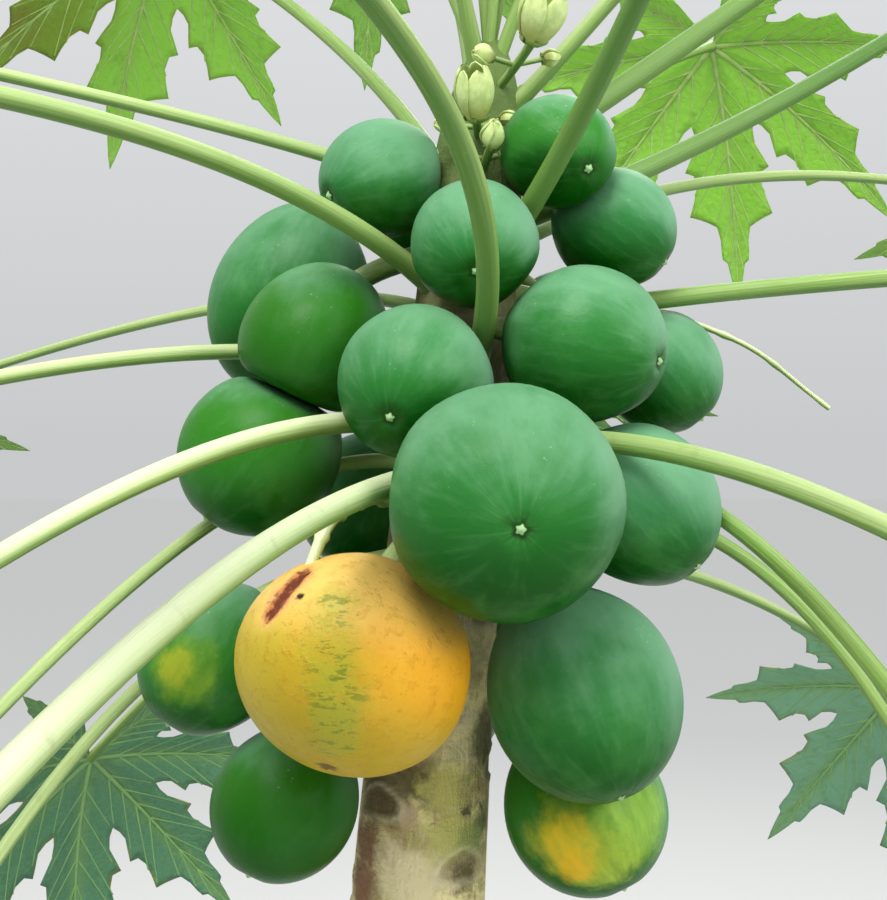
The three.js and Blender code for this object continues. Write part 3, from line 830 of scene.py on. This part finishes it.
def keep(mesh, key, values):
    """Keeps a number or a direction at each point of a mesh, for its material to read."""
    values = np.asarray(values, dtype=np.float32)
    kind, field = ("FLOAT_VECTOR", "vector") if values.ndim == 2 else ("FLOAT", "value")
    mesh.attributes.new(key, kind, "POINT").data.foreach_set(field, values.ravel())


def build_mesh(name, points, faces, skin, kept=None):
    """An object from points in millimetres."""
    mesh = bpy.data.meshes.new(name)
    mesh.from_pydata((np.asarray(points) * MM).tolist(), [], [list(map(int, face)) for face in faces])
    mesh.materials.append(skin)
    for key, values in (kept or {}).items():
        keep(mesh, key, values)
    mesh.polygons.foreach_set("use_smooth", [True] * len(mesh.polygons))
    mesh.update()
    return place_piece(name, mesh)


def closed_rings(rings, sides, foot, tip):
    """Faces between rings of points that turn by the right hand, and fans that close both ends at the points
    foot and tip."""
    i, j = np.meshgrid(np.arange(rings - 1), np.arange(sides), indexing="ij")
    a = i * sides + j
    b = i * sides + (j + 1) % sides
    faces = np.stack([a, b, b + sides, a + sides], -1).reshape(-1, 4).tolist()
    last = (rings - 1) * sides
    for side in range(sides):
        beside = (side + 1) % sides
        faces.append([foot, beside, side])
        faces.append([tip, last + side, last + beside])
    return faces


def swept_stems():
    """A node tree that turns edges into round stems, as thick at each point as its attribute thick says."""
    tree = bpy.data.node_groups.new("swept stems", "GeometryNodeTree")
    for socket, kind in (("Geometry", "Geometry"), ("Sides", "Int"), ("Skin", "Material")):
        tree.interface.new_socket(socket, in_out="INPUT", socket_type="NodeSocket" + kind)
    tree.interface.new_socket("Geometry", in_out="OUTPUT", socket_type="NodeSocketGeometry")
    nodes, links = tree.nodes, tree.links
    given, result = nodes.new("NodeGroupInput"), nodes.new("NodeGroupOutput")
    circle = nodes.new("GeometryNodeCurvePrimitiveCircle")
    circle.inputs["Radius"].default_value = 1
    thick = nodes.new("GeometryNodeInputNamedAttribute")
    thick.data_type = "FLOAT"
    thick.inputs["Name"].default_value = "thick"
    kinds = ("MeshToCurve", "CurveToMesh", "SetShadeSmooth", "RealizeInstances", "SetMaterial")
    line, sweep, smooth, whole, paint = (nodes.new("GeometryNode" + kind) for kind in kinds)
    sweep.inputs["Fill Caps"].default_value = True
    chain = (given, line, sweep, smooth, whole, paint, result)
    for before, after in zip(chain, chain[1:]):
        links.new(before.outputs[0], after.inputs[0])
    links.new(given.outputs["Sides"], circle.inputs["Resolution"])
    links.new(circle.outputs[0], sweep.inputs["Profile Curve"])
    links.new(thick.outputs[0], sweep.inputs["Scale"])
    links.new(given.outputs["Skin"], paint.inputs["Material"])
    return tree


STEMS = swept_stems()


def stems(name, paths, sides, skin, bleach_and_light=BLEACH_AND_LIGHT):
    """Round stems along paths, each (points, radii)."""
    points, edges, thick, along = [], [], [], []
    for path, radii in paths:
        first = len(points)
        points.extend(path)
        edges.extend((first + i, first + i + 1) for i in range(len(path) - 1))
        thick.extend(np.asarray(radii) * MM)
        along.extend(np.linspace(0, 1, len(path)))
    mesh = bpy.data.meshes.new(name)
    mesh.from_pydata((np.asarray(points) * MM).tolist(), edges, [])
    keep(mesh, "thick", thick)
    keep(mesh, "along", along)
    keep(mesh, "bleach_and_light", [bleach_and_light] * len(points))
    source = place_piece(name, mesh)
    modifier = source.modifiers.new("swept stems", "NODES")
    modifier.node_group = STEMS
    named = {item.name: item.identifier for item in STEMS.interface.items_tree if item.in_out == "INPUT"}
    modifier[named["Sides"]] = sides
    modifier[named["Skin"]] = skin
    result = bpy.data.meshes.new_from_object(source.evaluated_get(bpy.context.evaluated_depsgraph_get()))
    bpy.data.objects.remove(source)
    result.name = name
    set_grain(result, sides)
    return place_piece(name, result)


def set_grain(mesh, sides):
    """Keeps, at each point of a stem, a place on a long thin column, so that streaks run along the stem. The
    column leans, because noise is flat across its own axes and would mark a straight one with rings."""
    count = len(mesh.vertices)
    along = np.zeros(count, dtype=np.float32)
    mesh.attributes["along"].data.foreach_get("value", along)
    angle = 2 * np.pi * (np.arange(count) % sides) / sides
    grain = np.stack([np.cos(angle) + along * 1.1, np.sin(angle) + along * 1.5, along * 1.65], -1)
    keep(mesh, "grain", grain)


def join(name, first, *others):
    """Makes one piece of several objects."""
    with bpy.context.temp_override(active_object=first, selected_editable_objects=[first, *others]):
        bpy.ops.object.join()
    first.name = first.data.name = name
    return first


def finish_piece(piece, slot, *nodes):
    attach(piece, "root")
    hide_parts(*nodes)


def leaf_ends(leaf):
    """Where a leaf's stalk starts, what it sets out towards, and where it ends."""
    foot = trunk_axis(leaf.height)
    return foot, foot + offset(*leaf.set_out), foot + offset(*leaf.end)


def stalk_radius(width, share):
    return width / 2 * (1 + (STALK_END - 1) * share)


def fruit_middle(fruit):
    return trunk_axis(fruit.height) + offset(fruit.turn, 0, fruit.reach)


def fruit_radius(fruit):
    return (fruit.width + fruit.length) / 4


def presses_on(name):
    """Planes that flatten a fruit, as unit vectors from its middle and distances: its neighbours, the trunk
    and the leaf stalks."""
    fruit = FRUIT[name]
    middle = fruit_middle(fruit)
    radius = fruit_radius(fruit)
    planes = []
    for other_name, other in FRUIT.items():
        if other_name == name:
            continue
        away = fruit_middle(other) - middle
        distance = np.linalg.norm(away)
        border = (distance**2 + radius**2 - fruit_radius(other) ** 2) / (2 * distance)
        planes.append((away / distance, border - GAP / 2))
    bark_way = trunk_axis(middle[2]) - middle
    distance = np.linalg.norm(bark_way)
    planes.append((bark_way / distance, distance - trunk_radius(middle[2]) - GAP))
    for leaf in [*LEAVES.values(), *YOUNG_LEAVES.values()]:
        path = bend_through(*leaf_ends(leaf), PRESS_POINTS)
        away = path - middle
        distances = np.linalg.norm(away, axis=1)
        near = int(distances.argmin())
        room = distances[near] - stalk_radius(leaf.stalk, near / (PRESS_POINTS - 1)) - GAP
        planes.append((away[near] / distances[near], room))
    return [(way, room) for way, room in planes if room < 2 * radius]


def fruit_body(name, skin):
    """A fruit without its stalk, as radii in all directions from its middle, pressed flat where it meets
    something else."""
    fruit = FRUIT[name]
    middle = fruit_middle(fruit)
    blossom_turn, dip = fruit.blossom
    blossom = heading(blossom_turn, -dip)
    across = heading(blossom_turn + 90, 0)
    along = np.cross(blossom, across)
    share = np.arange(1, FRUIT_RINGS + 1) / (FRUIT_RINGS + 1)
    angles = np.pi * share[::-1] ** FRUIT_RING_CROWDING
    rounds = 2 * np.pi * np.arange(FRUIT_SIDES) / FRUIT_SIDES
    angle, about = np.meshgrid(angles, rounds, indexing="ij")
    angle, about = angle.ravel(), about.ravel()
    angle = np.append(angle, (np.pi, 0))
    about = np.append(about, (0, 0))
    ways = (
        np.cos(angle)[:, None] * blossom
        + (np.sin(angle) * np.cos(about))[:, None] * across
        + (np.sin(angle) * np.sin(about))[:, None] * along
    )
    # An egg that narrows towards the stalk, with five faint ribs
    plain = 1 / np.hypot(np.cos(angle) / (fruit.length / 2), np.sin(angle) / (fruit.width / 2))
    shaped = plain * (1 - FRUIT_NECK * ((1 - np.cos(angle)) / 2) ** 2 * np.sin(angle))
    fives = np.cos(5 * about)
    shaped = shaped * (1 + FRUIT_RIBS * fives * np.sin(angle) ** 2)
    # The blossom end
    scale = BLOSSOM_FRUIT_LENGTH / fruit.length
    hollow = HOLLOW_DEPTH * np.exp(-((angle / (HOLLOW_ANGLE * scale)) ** 2))
    tip = TIP_HEIGHT * np.exp(-((angle / (TIP_ANGLE * scale)) ** 2))
    shaped = shaped - (hollow - tip)
    # Flat sides, joined to the round ones by a high power
    pressed = shaped**-PRESS
    for way, room in presses_on(name):
        pressed = pressed + np.maximum(0, ways @ way / room) ** PRESS
    radii = pressed ** (-1 / PRESS)
    points = middle + ways * radii[:, None]
    if name == RIPE_FRUIT:
        away = np.min([np.linalg.norm(points - np.array(centre), axis=1) for centre, _ in BRUISE], axis=0)
        dent = BRUISE_DEPTH * np.exp(-((away / BRUISE_REACH) ** 2))
        lip = BRUISE_LIP * np.exp(-(((away - BRUISE_LIP_REACH) / BRUISE_LIP_WIDTH) ** 2))
        points = points - ways * (dent - lip)[:, None]
    faces = closed_rings(FRUIT_RINGS, FRUIT_SIDES, len(points) - 2, len(points) - 1)
    kept = {
        "star": angle / (HOLLOW_ANGLE * scale * (1 + HOLLOW_POINTS * fives)),
        "tone": np.full(len(points), FRUIT_TONE_AND_LIGHT.get(name, 0.0)),
        "grain": np.stack([np.cos(about), np.sin(about), angle], -1),
    }
    return build_mesh(name, points, faces, skin, kept)


def fruit_stalk(name, skin):
    """The stalk of a fruit, thicker at both ends."""
    fruit = FRUIT[name]
    middle = fruit_middle(fruit)
    blossom_turn, dip = fruit.blossom
    blossom = heading(blossom_turn, -dip)
    neck = middle - blossom * FRUIT_STALK_ROOT * fruit.length
    bend = middle - blossom * FRUIT_STALK_BEND * fruit.length
    root = trunk_axis(bend[2] + FRUIT_STALK_RISE * float(trunk_radius(bend[2])))
    path = bend_through(neck, bend, root, FRUIT_STALK_POINTS)[::-1]
    share = np.linspace(0, 1, FRUIT_STALK_POINTS)
    radii = FRUIT_STALK_RADIUS * (0.92 + 0.35 * (1 - share) ** 3 + 0.25 * share**4)
    return stems(name + " stalk", [(path, radii)], FRUIT_STALK_SIDES, skin)


def old_flower_stalk(name, skin):
    """A dry stalk that sways a little and has knots."""
    *marks, thickness = OLD_FLOWER_STALKS[name]
    path = bend_through(*map(np.array, marks), OLD_STALK_POINTS)
    share = np.linspace(0, 1, OLD_STALK_POINTS)
    path[:, 2] += OLD_STALK_SWAY * np.sin(share * 19) * share
    knots = 1 + OLD_STALK_KNOTS * np.maximum(0, np.sin(share * 40)) ** 6
    radii = thickness / 2 * (1 - OLD_STALK_TAPER * share) * knots
    return stems(name + " old flower stalk", [(path, radii)], OLD_STALK_SIDES, skin, 1.0)


def fruit_piece(name, skin, stalk):
    parts = [fruit_body(name, skin), fruit_stalk(name, stalk)]
    if name in OLD_FLOWER_STALKS:
        parts.append(old_flower_stalk(name, stalk))
    return join(name, *parts)


def margin_curve(length, size, shorter, spread):
    """Half a lobe's edge as (along, off, rib) shares of its length, from the cleft to the tip. rib is the
    place on the lobe's rib that a point of the edge belongs to."""
    reach = size * CLEFT * (shorter + 1) / 2
    cleft = np.array((reach * math.cos(spread / 2), reach * math.sin(spread / 2))) / length
    stops = [cleft, *map(np.array, (SIDE_LOBE, NOTCH, LOBE_TIP))]
    line = []
    for start, end, teeth in zip(stops, stops[1:], TEETH):
        for share, push in teeth:
            along, off = start + (end - start) * share
            line.append((along, max(0.0, off + push)))
    line = np.array(line)
    halves = (line[:-1] + line[1:]) / 2
    fine = np.vstack([np.stack([line[:-1], halves], 1).reshape(-1, 2), line[-1:]])
    first = fine[0, 0] * CLEFT_RIB
    rib = first + (1 - first) * (fine[:, 0] - fine[0, 0]) / (1 - fine[0, 0])
    return np.column_stack([fine, rib])


def half_lobes(size, lobes):
    """Both halves of each lobe: the lobe's length and a function that turns points on it to their place on
    the flat blade, then the half's side and its edge."""
    spread = math.radians(lobes[1][0] - lobes[0][0])
    for k, (angle, share) in enumerate(lobes):
        c, s = math.cos(math.radians(angle)), math.sin(math.radians(angle))

        def turn(x, y, c=c, s=s):
            return x * c - y * s, x * s + y * c

        for side in (-1, 1):
            beside = lobes[k + side][1] if 0 <= k + side < len(lobes) else share
            yield size * share, turn, side, margin_curve(size * share, size, min(share, beside), spread)


def blade_points(size, lobes):
    """The blade laid flat with its middle lobe along +X: points as (x, y, off the rib, share of the way to
    the edge), and faces that wind round +Z."""
    points, faces = [], []
    across = BLADE_COLUMNS
    for length, turn, side, edge in half_lobes(size, lobes):
        start = np.linspace(0, 1, BLADE_INNER_ROWS, endpoint=False)[:, None] * edge[0]
        rows = np.vstack([start, edge])
        first = len(points)
        for along, off, rib in rows:
            for t in np.linspace(0, 1, across):
                x = (rib + (along - rib) * t) * length
                y = side * off * t * length
                # Up to the cleft, a half ends at its neighbour and has no margin
                out = t if along > edge[0, 0] * 0.98 else 0.0
                points.append((*turn(x, y), abs(y), out))
        for i in range(len(rows) - 1):
            for j in range(across - 1):
                a = first + i * across + j
                quad = [a, a + across, a + across + 1, a + 1]
                faces.append(quad if side > 0 else quad[::-1])
    return np.array(points), faces


def blade_place(leaf):
    """A function that puts flat blade points (x, y, off, raised) into the tree, sagging and creased."""
    turn = leaf.end[0]
    size = leaf.size
    forward = heading(turn, -leaf.dip)
    side = heading(turn + 90, 0)
    up = np.cross(forward, side)
    end = leaf_ends(leaf)[2]
    phase = turn * 0.7 + size

    def place(x, y, off, raised):
        reach2 = x * x + y * y
        wave = BLADE_WAVE * reach2 / size * np.sin(np.arctan2(y, x) * BLADE_WAVES + phase)
        ripple = BLADE_RIPPLE * off * np.sin(np.hypot(x, y) / size * BLADE_RIPPLES + phase)
        lift = raised - BLADE_SAG * reach2 / size - BLADE_CREASE * off + wave + ripple
        return end + np.outer(x, forward) + np.outer(y, side) + np.outer(lift, up)

    return place


def leaf_blade(name, leaf, lobes, skin):
    size = leaf.size
    flat, faces = blade_points(size, lobes)
    place = blade_place(leaf)
    x, y, off, out = flat.T
    # One point where rows or lobes meet
    keys = np.round(np.column_stack([x, y]), 2)
    _, first, inverse = np.unique(keys, axis=0, return_index=True, return_inverse=True)
    inverse = inverse.ravel()
    x, y, off, out = x[first], y[first], off[first], out[first]
    faces = [[int(inverse[v]) for v in face] for face in faces]
    faces = [[v for i, v in enumerate(face) if v != face[i - 1]] for face in faces]
    faces = [face for face in faces if len(face) > 2]
    top = place(x, y, off, BLADE_THICKNESS / 2)
    below = place(x, y, off, -BLADE_THICKNESS / 2)
    count = len(top)
    sides = {(face[i - 1], face[i]) for face in faces for i in range(len(face))}
    rim = [[b, a, a + count, b + count] for a, b in sides if (b, a) not in sides]
    underside = [[v + count for v in reversed(face)] for face in faces]
    kept = {
        "tint": np.full(2 * count, TINTS.get(name, 0.25 * math.sin(7.3 * leaf.height))),
        "under": np.repeat((0.0, 1.0), count),
        "rib": np.tile(off / size, 2),
        "margin": np.tile(out, 2),
        "glaze": np.full(2 * count, GLAZED.get(name, 0.0)),
    }
    return build_mesh(name, np.vstack([top, below]), faces + underside + rim, skin, kept)


def leaf_veins(name, leaf, lobes, skin):
    """Ribs along the lobes and side veins to the points of their edges, on the blade's surface."""
    size = leaf.size
    place = blade_place(leaf)
    small = size < SMALL_BLADE
    thinnest = THINNEST_SMALL_VEIN if small else THINNEST_VEIN
    paths = []

    def lay(length, turn, start, end, thickness, steps):
        t = np.linspace(0, 1, steps)
        along = (start[0] + (end[0] - start[0]) * t) * length
        off = (start[1] + (end[1] - start[1]) * t) * length
        points = place(*turn(along, off), np.abs(off), np.full(steps, VEIN_RISE))
        radii = thickness * (1 - VEIN_TAPER * t) * size / FULL_BLADE
        paths.append((points, np.maximum(radii, thinnest)))

    for length, turn, side, edge in half_lobes(size, lobes):
        if side < 0:
            lay(length, turn, (0.0, 0.0), (RIB_END, 0.0), RIB * math.sqrt(length / size), 14)
        cleft = edge[0, :2]
        middle = (cleft + np.array(SIDE_LOBE)) / 2
        # Each side vein: where it leaves the rib, and where it ends
        side_veins = (
            (0.14, (cleft[0] * 0.97, cleft[1] * 0.90)),
            (0.24, (middle[0] * 0.93, middle[1] * 0.93)),
            (0.34, (middle[0] * 0.45 + SIDE_LOBE[0] * 0.55, middle[1] * 0.42 + SIDE_LOBE[1] * 0.50)),
            (0.44, (SIDE_LOBE[0] * 0.985, SIDE_LOBE[1] * 0.93)),
            (0.54, (0.71, 0.072)),
            (0.64, (0.80, 0.052)),
            (0.76, (0.88, 0.030)),
        )
        for root, (along, off) in side_veins[:: 2 if small else 1]:
            lay(length, turn, (root, 0.0), (along, side * off), SIDE_VEIN - root, 8)
    return stems(name + " veins", paths, VEIN_SIDES, skin, TINTS.get(name, 0.0))


def leaf_piece(name, leaf, lobes, skins):
    blade = leaf_blade(name, leaf, lobes, skins["blade"])
    path = bend_through(*leaf_ends(leaf), STALK_POINTS)
    share = np.linspace(0, 1, STALK_POINTS)
    foot_swell = FOOT_SWELL * np.exp(-share / FOOT_LENGTH)
    neck_swell = NECK_SWELL * np.exp(-(1 - share) / NECK_LENGTH)
    run = (path, stalk_radius(leaf.stalk, share) * (1 + foot_swell + neck_swell))
    stalk = stems(name + " stalk", [run], STALK_SIDES, skins["stalk"], BLEACH_AND_LIGHT_BY_LEAF.get(name, BLEACH_AND_LIGHT))
    return join(name, blade, stalk, leaf_veins(name, leaf, lobes, skins["vein"]))


def leaf_scars(about, height, radius):
    """How far each point of the trunk is inside a leaf scar, and how far up a scar's rim, both from 0 to 1.
    Scars are heart shaped and get smaller towards the tip."""
    scar, rim = np.zeros_like(height), np.zeros_like(height)
    count = int((TRUNK_TOP - SCARLESS_TIP - SCAR_FIRST) / SCAR_STEP)
    for k in range(count):
        middle = SCAR_FIRST + SCAR_STEP * k
        turn = math.radians(SCAR_START + SCAR_TURN * k)
        size = 1.0 - 0.35 * k / count - 0.25 * (k / count) ** 8
        away = (about - turn + np.pi) % (2 * np.pi) - np.pi
        x = away * radius / (SCAR_WIDTH * size)
        y = (height - middle) / (SCAR_HEIGHT * size)
        # About 1 on the heart's outline and less inside it
        heart = np.hypot(x, y + 0.45 * np.abs(x) - 0.15)
        edge = np.clip((1.05 - heart) / 0.35, 0, 1)
        scar = np.maximum(scar, edge * edge * (3 - 2 * edge))
        rim = np.maximum(rim, np.exp(-(((heart - 1.10) / 0.16) ** 2)))
    return scar, rim


def trunk_piece(skin):
    z = np.linspace(0, TRUNK_TOP - LAST_RING_DROP, TRUNK_RINGS)
    angle = 2 * np.pi * np.arange(TRUNK_SIDES) / TRUNK_SIDES
    height, about = np.meshgrid(z, angle, indexing="ij")
    height, about = height.ravel(), about.ravel()
    radius = trunk_radius(height)
    scar, rim = leaf_scars(about, height, radius)
    fade = np.clip((TRUNK_TOP - height) / SMOOTH_TIP, 0, 1)
    knots = 0.9 * np.sin(3 * about + height / 90) + 0.7 * np.sin(5 * about - height / 61)
    flutes = FOOT_FLUTES * np.cos(5 * about + 0.6) * np.exp(-height / FOOT_FLUTE_FADE)
    radius = radius + fade * (SCAR_RIM * rim - SCAR_DEPTH * scar + knots * 0.7) + flutes
    centre = TRUNK_BOW * (height / TRUNK_TOP) ** 2
    points = np.column_stack([centre + radius * np.cos(about), radius * np.sin(about), height])
    points = np.vstack([points, trunk_axis(0), trunk_axis(TRUNK_TOP)])
    faces = closed_rings(TRUNK_RINGS, TRUNK_SIDES, len(points) - 2, len(points) - 1)
    kept = {"scar": np.append(scar, (0, 0)), "rim": np.append(rim * fade, (0, 0))}
    return build_mesh("trunk", points, faces, skin, kept)


def closed_sheet(front, back):
    """Points and faces of a sheet between two grids of points, closed round its edge."""
    rows, columns = front.shape[:2]
    count = rows * columns
    index = np.arange(count).reshape(rows, columns)
    a, b, c, d = index[:-1, :-1], index[1:, :-1], index[1:, 1:], index[:-1, 1:]
    quads = np.stack([a, b, c, d], -1).reshape(-1, 4)
    faces = quads.tolist() + (quads[:, ::-1] + count).tolist()
    edge = [*index[0], *index[1:, -1], *index[-1, -2::-1], *index[-2:0:-1, 0]]
    faces.extend([[p, q, q + count, p + count] for p, q in zip(edge, edge[1:] + edge[:1])])
    return np.vstack([front.reshape(-1, 3), back.reshape(-1, 3)]), faces


def whorl(base, way, radius, length, spread, width, start):
    """Petals or sepals round an axis, furled where spread is 0 and bent outwards where it is 1, as points,
    faces and how far along its petal each point is."""
    across = np.cross(way, (0, 0, 1))
    across = across / np.linalg.norm(across)
    up = np.cross(way, across)
    s, t = np.meshgrid(np.linspace(0, 1, PETAL_ROWS), np.linspace(-1, 1, PETAL_COLUMNS), indexing="ij")
    # Reach from the axis along a petal, furled and wide open, as shares of the radius
    furled = 0.06 + 0.94 * np.sin(np.pi * (0.11 + 0.85 * s))
    open_wide = 0.35 + 0.55 * s + 1.25 * s * s
    out = radius * (furled * (1 - spread) + open_wide * spread) + PETAL_THICKNESS * 0.7 * t
    rise = length * s * (1 - 0.30 * spread * s * s)
    half = width * radius * (0.5 + 0.5 * np.sin(np.pi * 0.85 * s)) * np.sqrt(1 - s**4)
    points, faces, along = [], [], []
    for k in range(PETALS):
        about = start + 2 * np.pi * k / PETALS + t * half / out + 0.5 * s * (1 - spread)
        layers = []
        for face_side in (PETAL_THICKNESS / 2, -PETAL_THICKNESS / 2):
            reach = out + face_side
            layers.append(
                base
                + rise[..., None] * way
                + (reach * np.cos(about))[..., None] * across
                + (reach * np.sin(about))[..., None] * up
            )
        sheet, sheet_faces = closed_sheet(*layers)
        first = sum(map(len, points))
        points.append(sheet)
        faces.extend([[v + first for v in face] for face in sheet_faces])
        along.extend(np.tile(s.ravel(), 2))
    return np.vstack(points), faces, along


def tidy_shell(piece):
    """Merges the points that meet at a petal's tip and turns every face outwards."""
    shell = bmesh.new()
    shell.from_mesh(piece.data)
    bmesh.ops.remove_doubles(shell, verts=shell.verts, dist=1e-6)
    bmesh.ops.recalc_face_normals(shell, faces=shell.faces)
    shell.to_mesh(piece.data)
    shell.free()
    return piece


def flower_part(name, skins, base, way, radius, length, spread, start):
    """Petals with the small cup under them and the furled heart inside them."""
    petals = whorl(base, way, radius, length, spread, 0.78, start)
    cup = whorl(base - way, way, radius * 0.62, length * 0.16, 0.35, 0.60, start + 0.6)
    heart = whorl(base, way, radius * 0.42, length * 0.55, 0.0, 0.95, start + 0.3)
    pieces = []
    for part, shape, paleness in (("petals", petals, 1), ("cup", cup, 0), ("heart", heart, 0.6)):
        points, faces, along = shape
        kept = {"along": np.asarray(along) * paleness}
        pieces.append(tidy_shell(build_mesh(f"{name} {part}", points, faces, skins["petal"], kept)))
    return pieces


def flower_piece(name, skins):
    """A flower with its furled side buds, on a short stalk."""
    height, place, (face_turn, face_rise), radius, length, spread = FLOWERS[name]
    foot = trunk_axis(height)
    base = foot + offset(*place)
    way = heading(face_turn, face_rise)
    pieces = flower_part(name, skins, base, way, radius, length, spread, 0.4)
    stalk = bend_through(foot, (foot + base) / 2 - (0, 0, FLOWER_STALK_SAG), base, 10)
    paths = [(stalk, np.full(len(stalk), FLOWER_STALK_RADIUS))]
    fork = foot * 0.35 + base * 0.65
    for k, (turn, rise, share) in enumerate(SIDE_BUDS):
        side_way = heading(face_turn + turn, rise)
        side_base = fork + side_way * radius * SIDE_BUD_REACH
        size = radius * share
        length = size * SIDE_BUD_LENGTH
        pieces.extend(flower_part(f"{name} side {k}", skins, side_base, side_way, size, length, 0.0, k))
        stalk = bend_through(fork, (fork + side_base) / 2, side_base, 6)
        paths.append((stalk, np.full(len(stalk), FLOWER_STALK_RADIUS * SIDE_BUD_STALK)))
    stem = stems(name + " stalk", paths, FLOWER_STALK_SIDES, skins["stalk"], 0.3)
    return join(name, *pieces, stem)


skins = {
    "green": fruit_skin("green papaya skin"),
    "ripe": ripe_skin(),
    "low": fruit_skin("turning papaya skin", TURNING_LOW),
    "side": fruit_skin("half turned papaya skin", TURNING_SIDE),
    "stalk": stalk_skin(),
    "blade": blade_skin(),
    "vein": vein_skin(),
    "bark": bark(),
    "petal": petal_skin(),
}

finish_piece(trunk_piece(skins["bark"]), "bark", "trunk")

for name in FRUIT:
    kind, slot = TURNING.get(name, ("green", "green_skin"))
    finish_piece(fruit_piece(name, skins[kind], skins["stalk"]), slot, name)

for name, leaf in LEAVES.items():
    finish_piece(leaf_piece(name, leaf, LOBES, skins), "leaf", name)
for name, leaf in YOUNG_LEAVES.items():
    piece = leaf_piece(name, leaf, YOUNG_LOBES, skins)
    if name == "young_leaf_05":
        heart = [leaf_piece(key, small, YOUNG_LOBES, skins) for key, small in HEART_LEAVES.items()]
        piece = join(name, piece, *heart)
    finish_piece(piece, "leaf", name)
for name in FLOWERS:
    finish_piece(flower_piece(name, skins), "petal", name)

# Floor
corners = [(x * FLOOR_REACH, y * FLOOR_REACH, 0) for x, y in ((-1, -1), (1, -1), (1, 1), (-1, 1))]
floor = build_mesh("floor", corners, [[0, 1, 2, 3]], floor_skin())


def lamp(name, place, target, size, power, colour):
    light = bpy.data.lights.new(name, "AREA")
    light.shape = "DISK"
    light.size = size
    light.energy = power
    light.color = colour
    stand = place_piece(name, light)
    stand.location = place
    stand.rotation_euler = (Vector(target) - Vector(place)).to_track_quat("-Z", "Y").to_euler()


# Lamps: place and target in metres, then size, power and colour
lamp("key", (-0.7, -2.3, 4.4), (0.05, 0, 1.3), 2.2, 153, (1.0, 0.99, 0.96))
lamp("fill", (2.6, -2.0, 3.0), (0.05, 0, 1.3), 2.4, 64, (0.97, 0.99, 1.0))
lamp("back", (0.8, 3.2, 3.8), (0.05, 0, 1.4), 2.4, 60, (1.0, 1.0, 0.97))

# Sky: brighter towards the top, from one strength at the foot to the other overhead
SKY_LOW = 0.62
SKY_HIGH = 1.16
world = bpy.data.worlds.new("studio")
bpy.context.scene.world = world
world.use_nodes = True
nodes, links = world.node_tree.nodes, world.node_tree.links
sky = nodes["Background"]
sky.inputs["Color"].default_value = (0.93, 0.95, 0.96, 1)
way, parts, climb = (nodes.new("ShaderNode" + kind) for kind in ("TexCoord", "SeparateXYZ", "MapRange"))
climb.inputs["To Min"].default_value = SKY_LOW
climb.inputs["To Max"].default_value = SKY_HIGH
links.new(way.outputs["Generated"], parts.inputs[0])
links.new(parts.outputs["Z"], climb.inputs["Value"])
links.new(climb.outputs["Result"], sky.inputs["Strength"])
bpy.context.scene.view_settings.view_transform = "Standard"
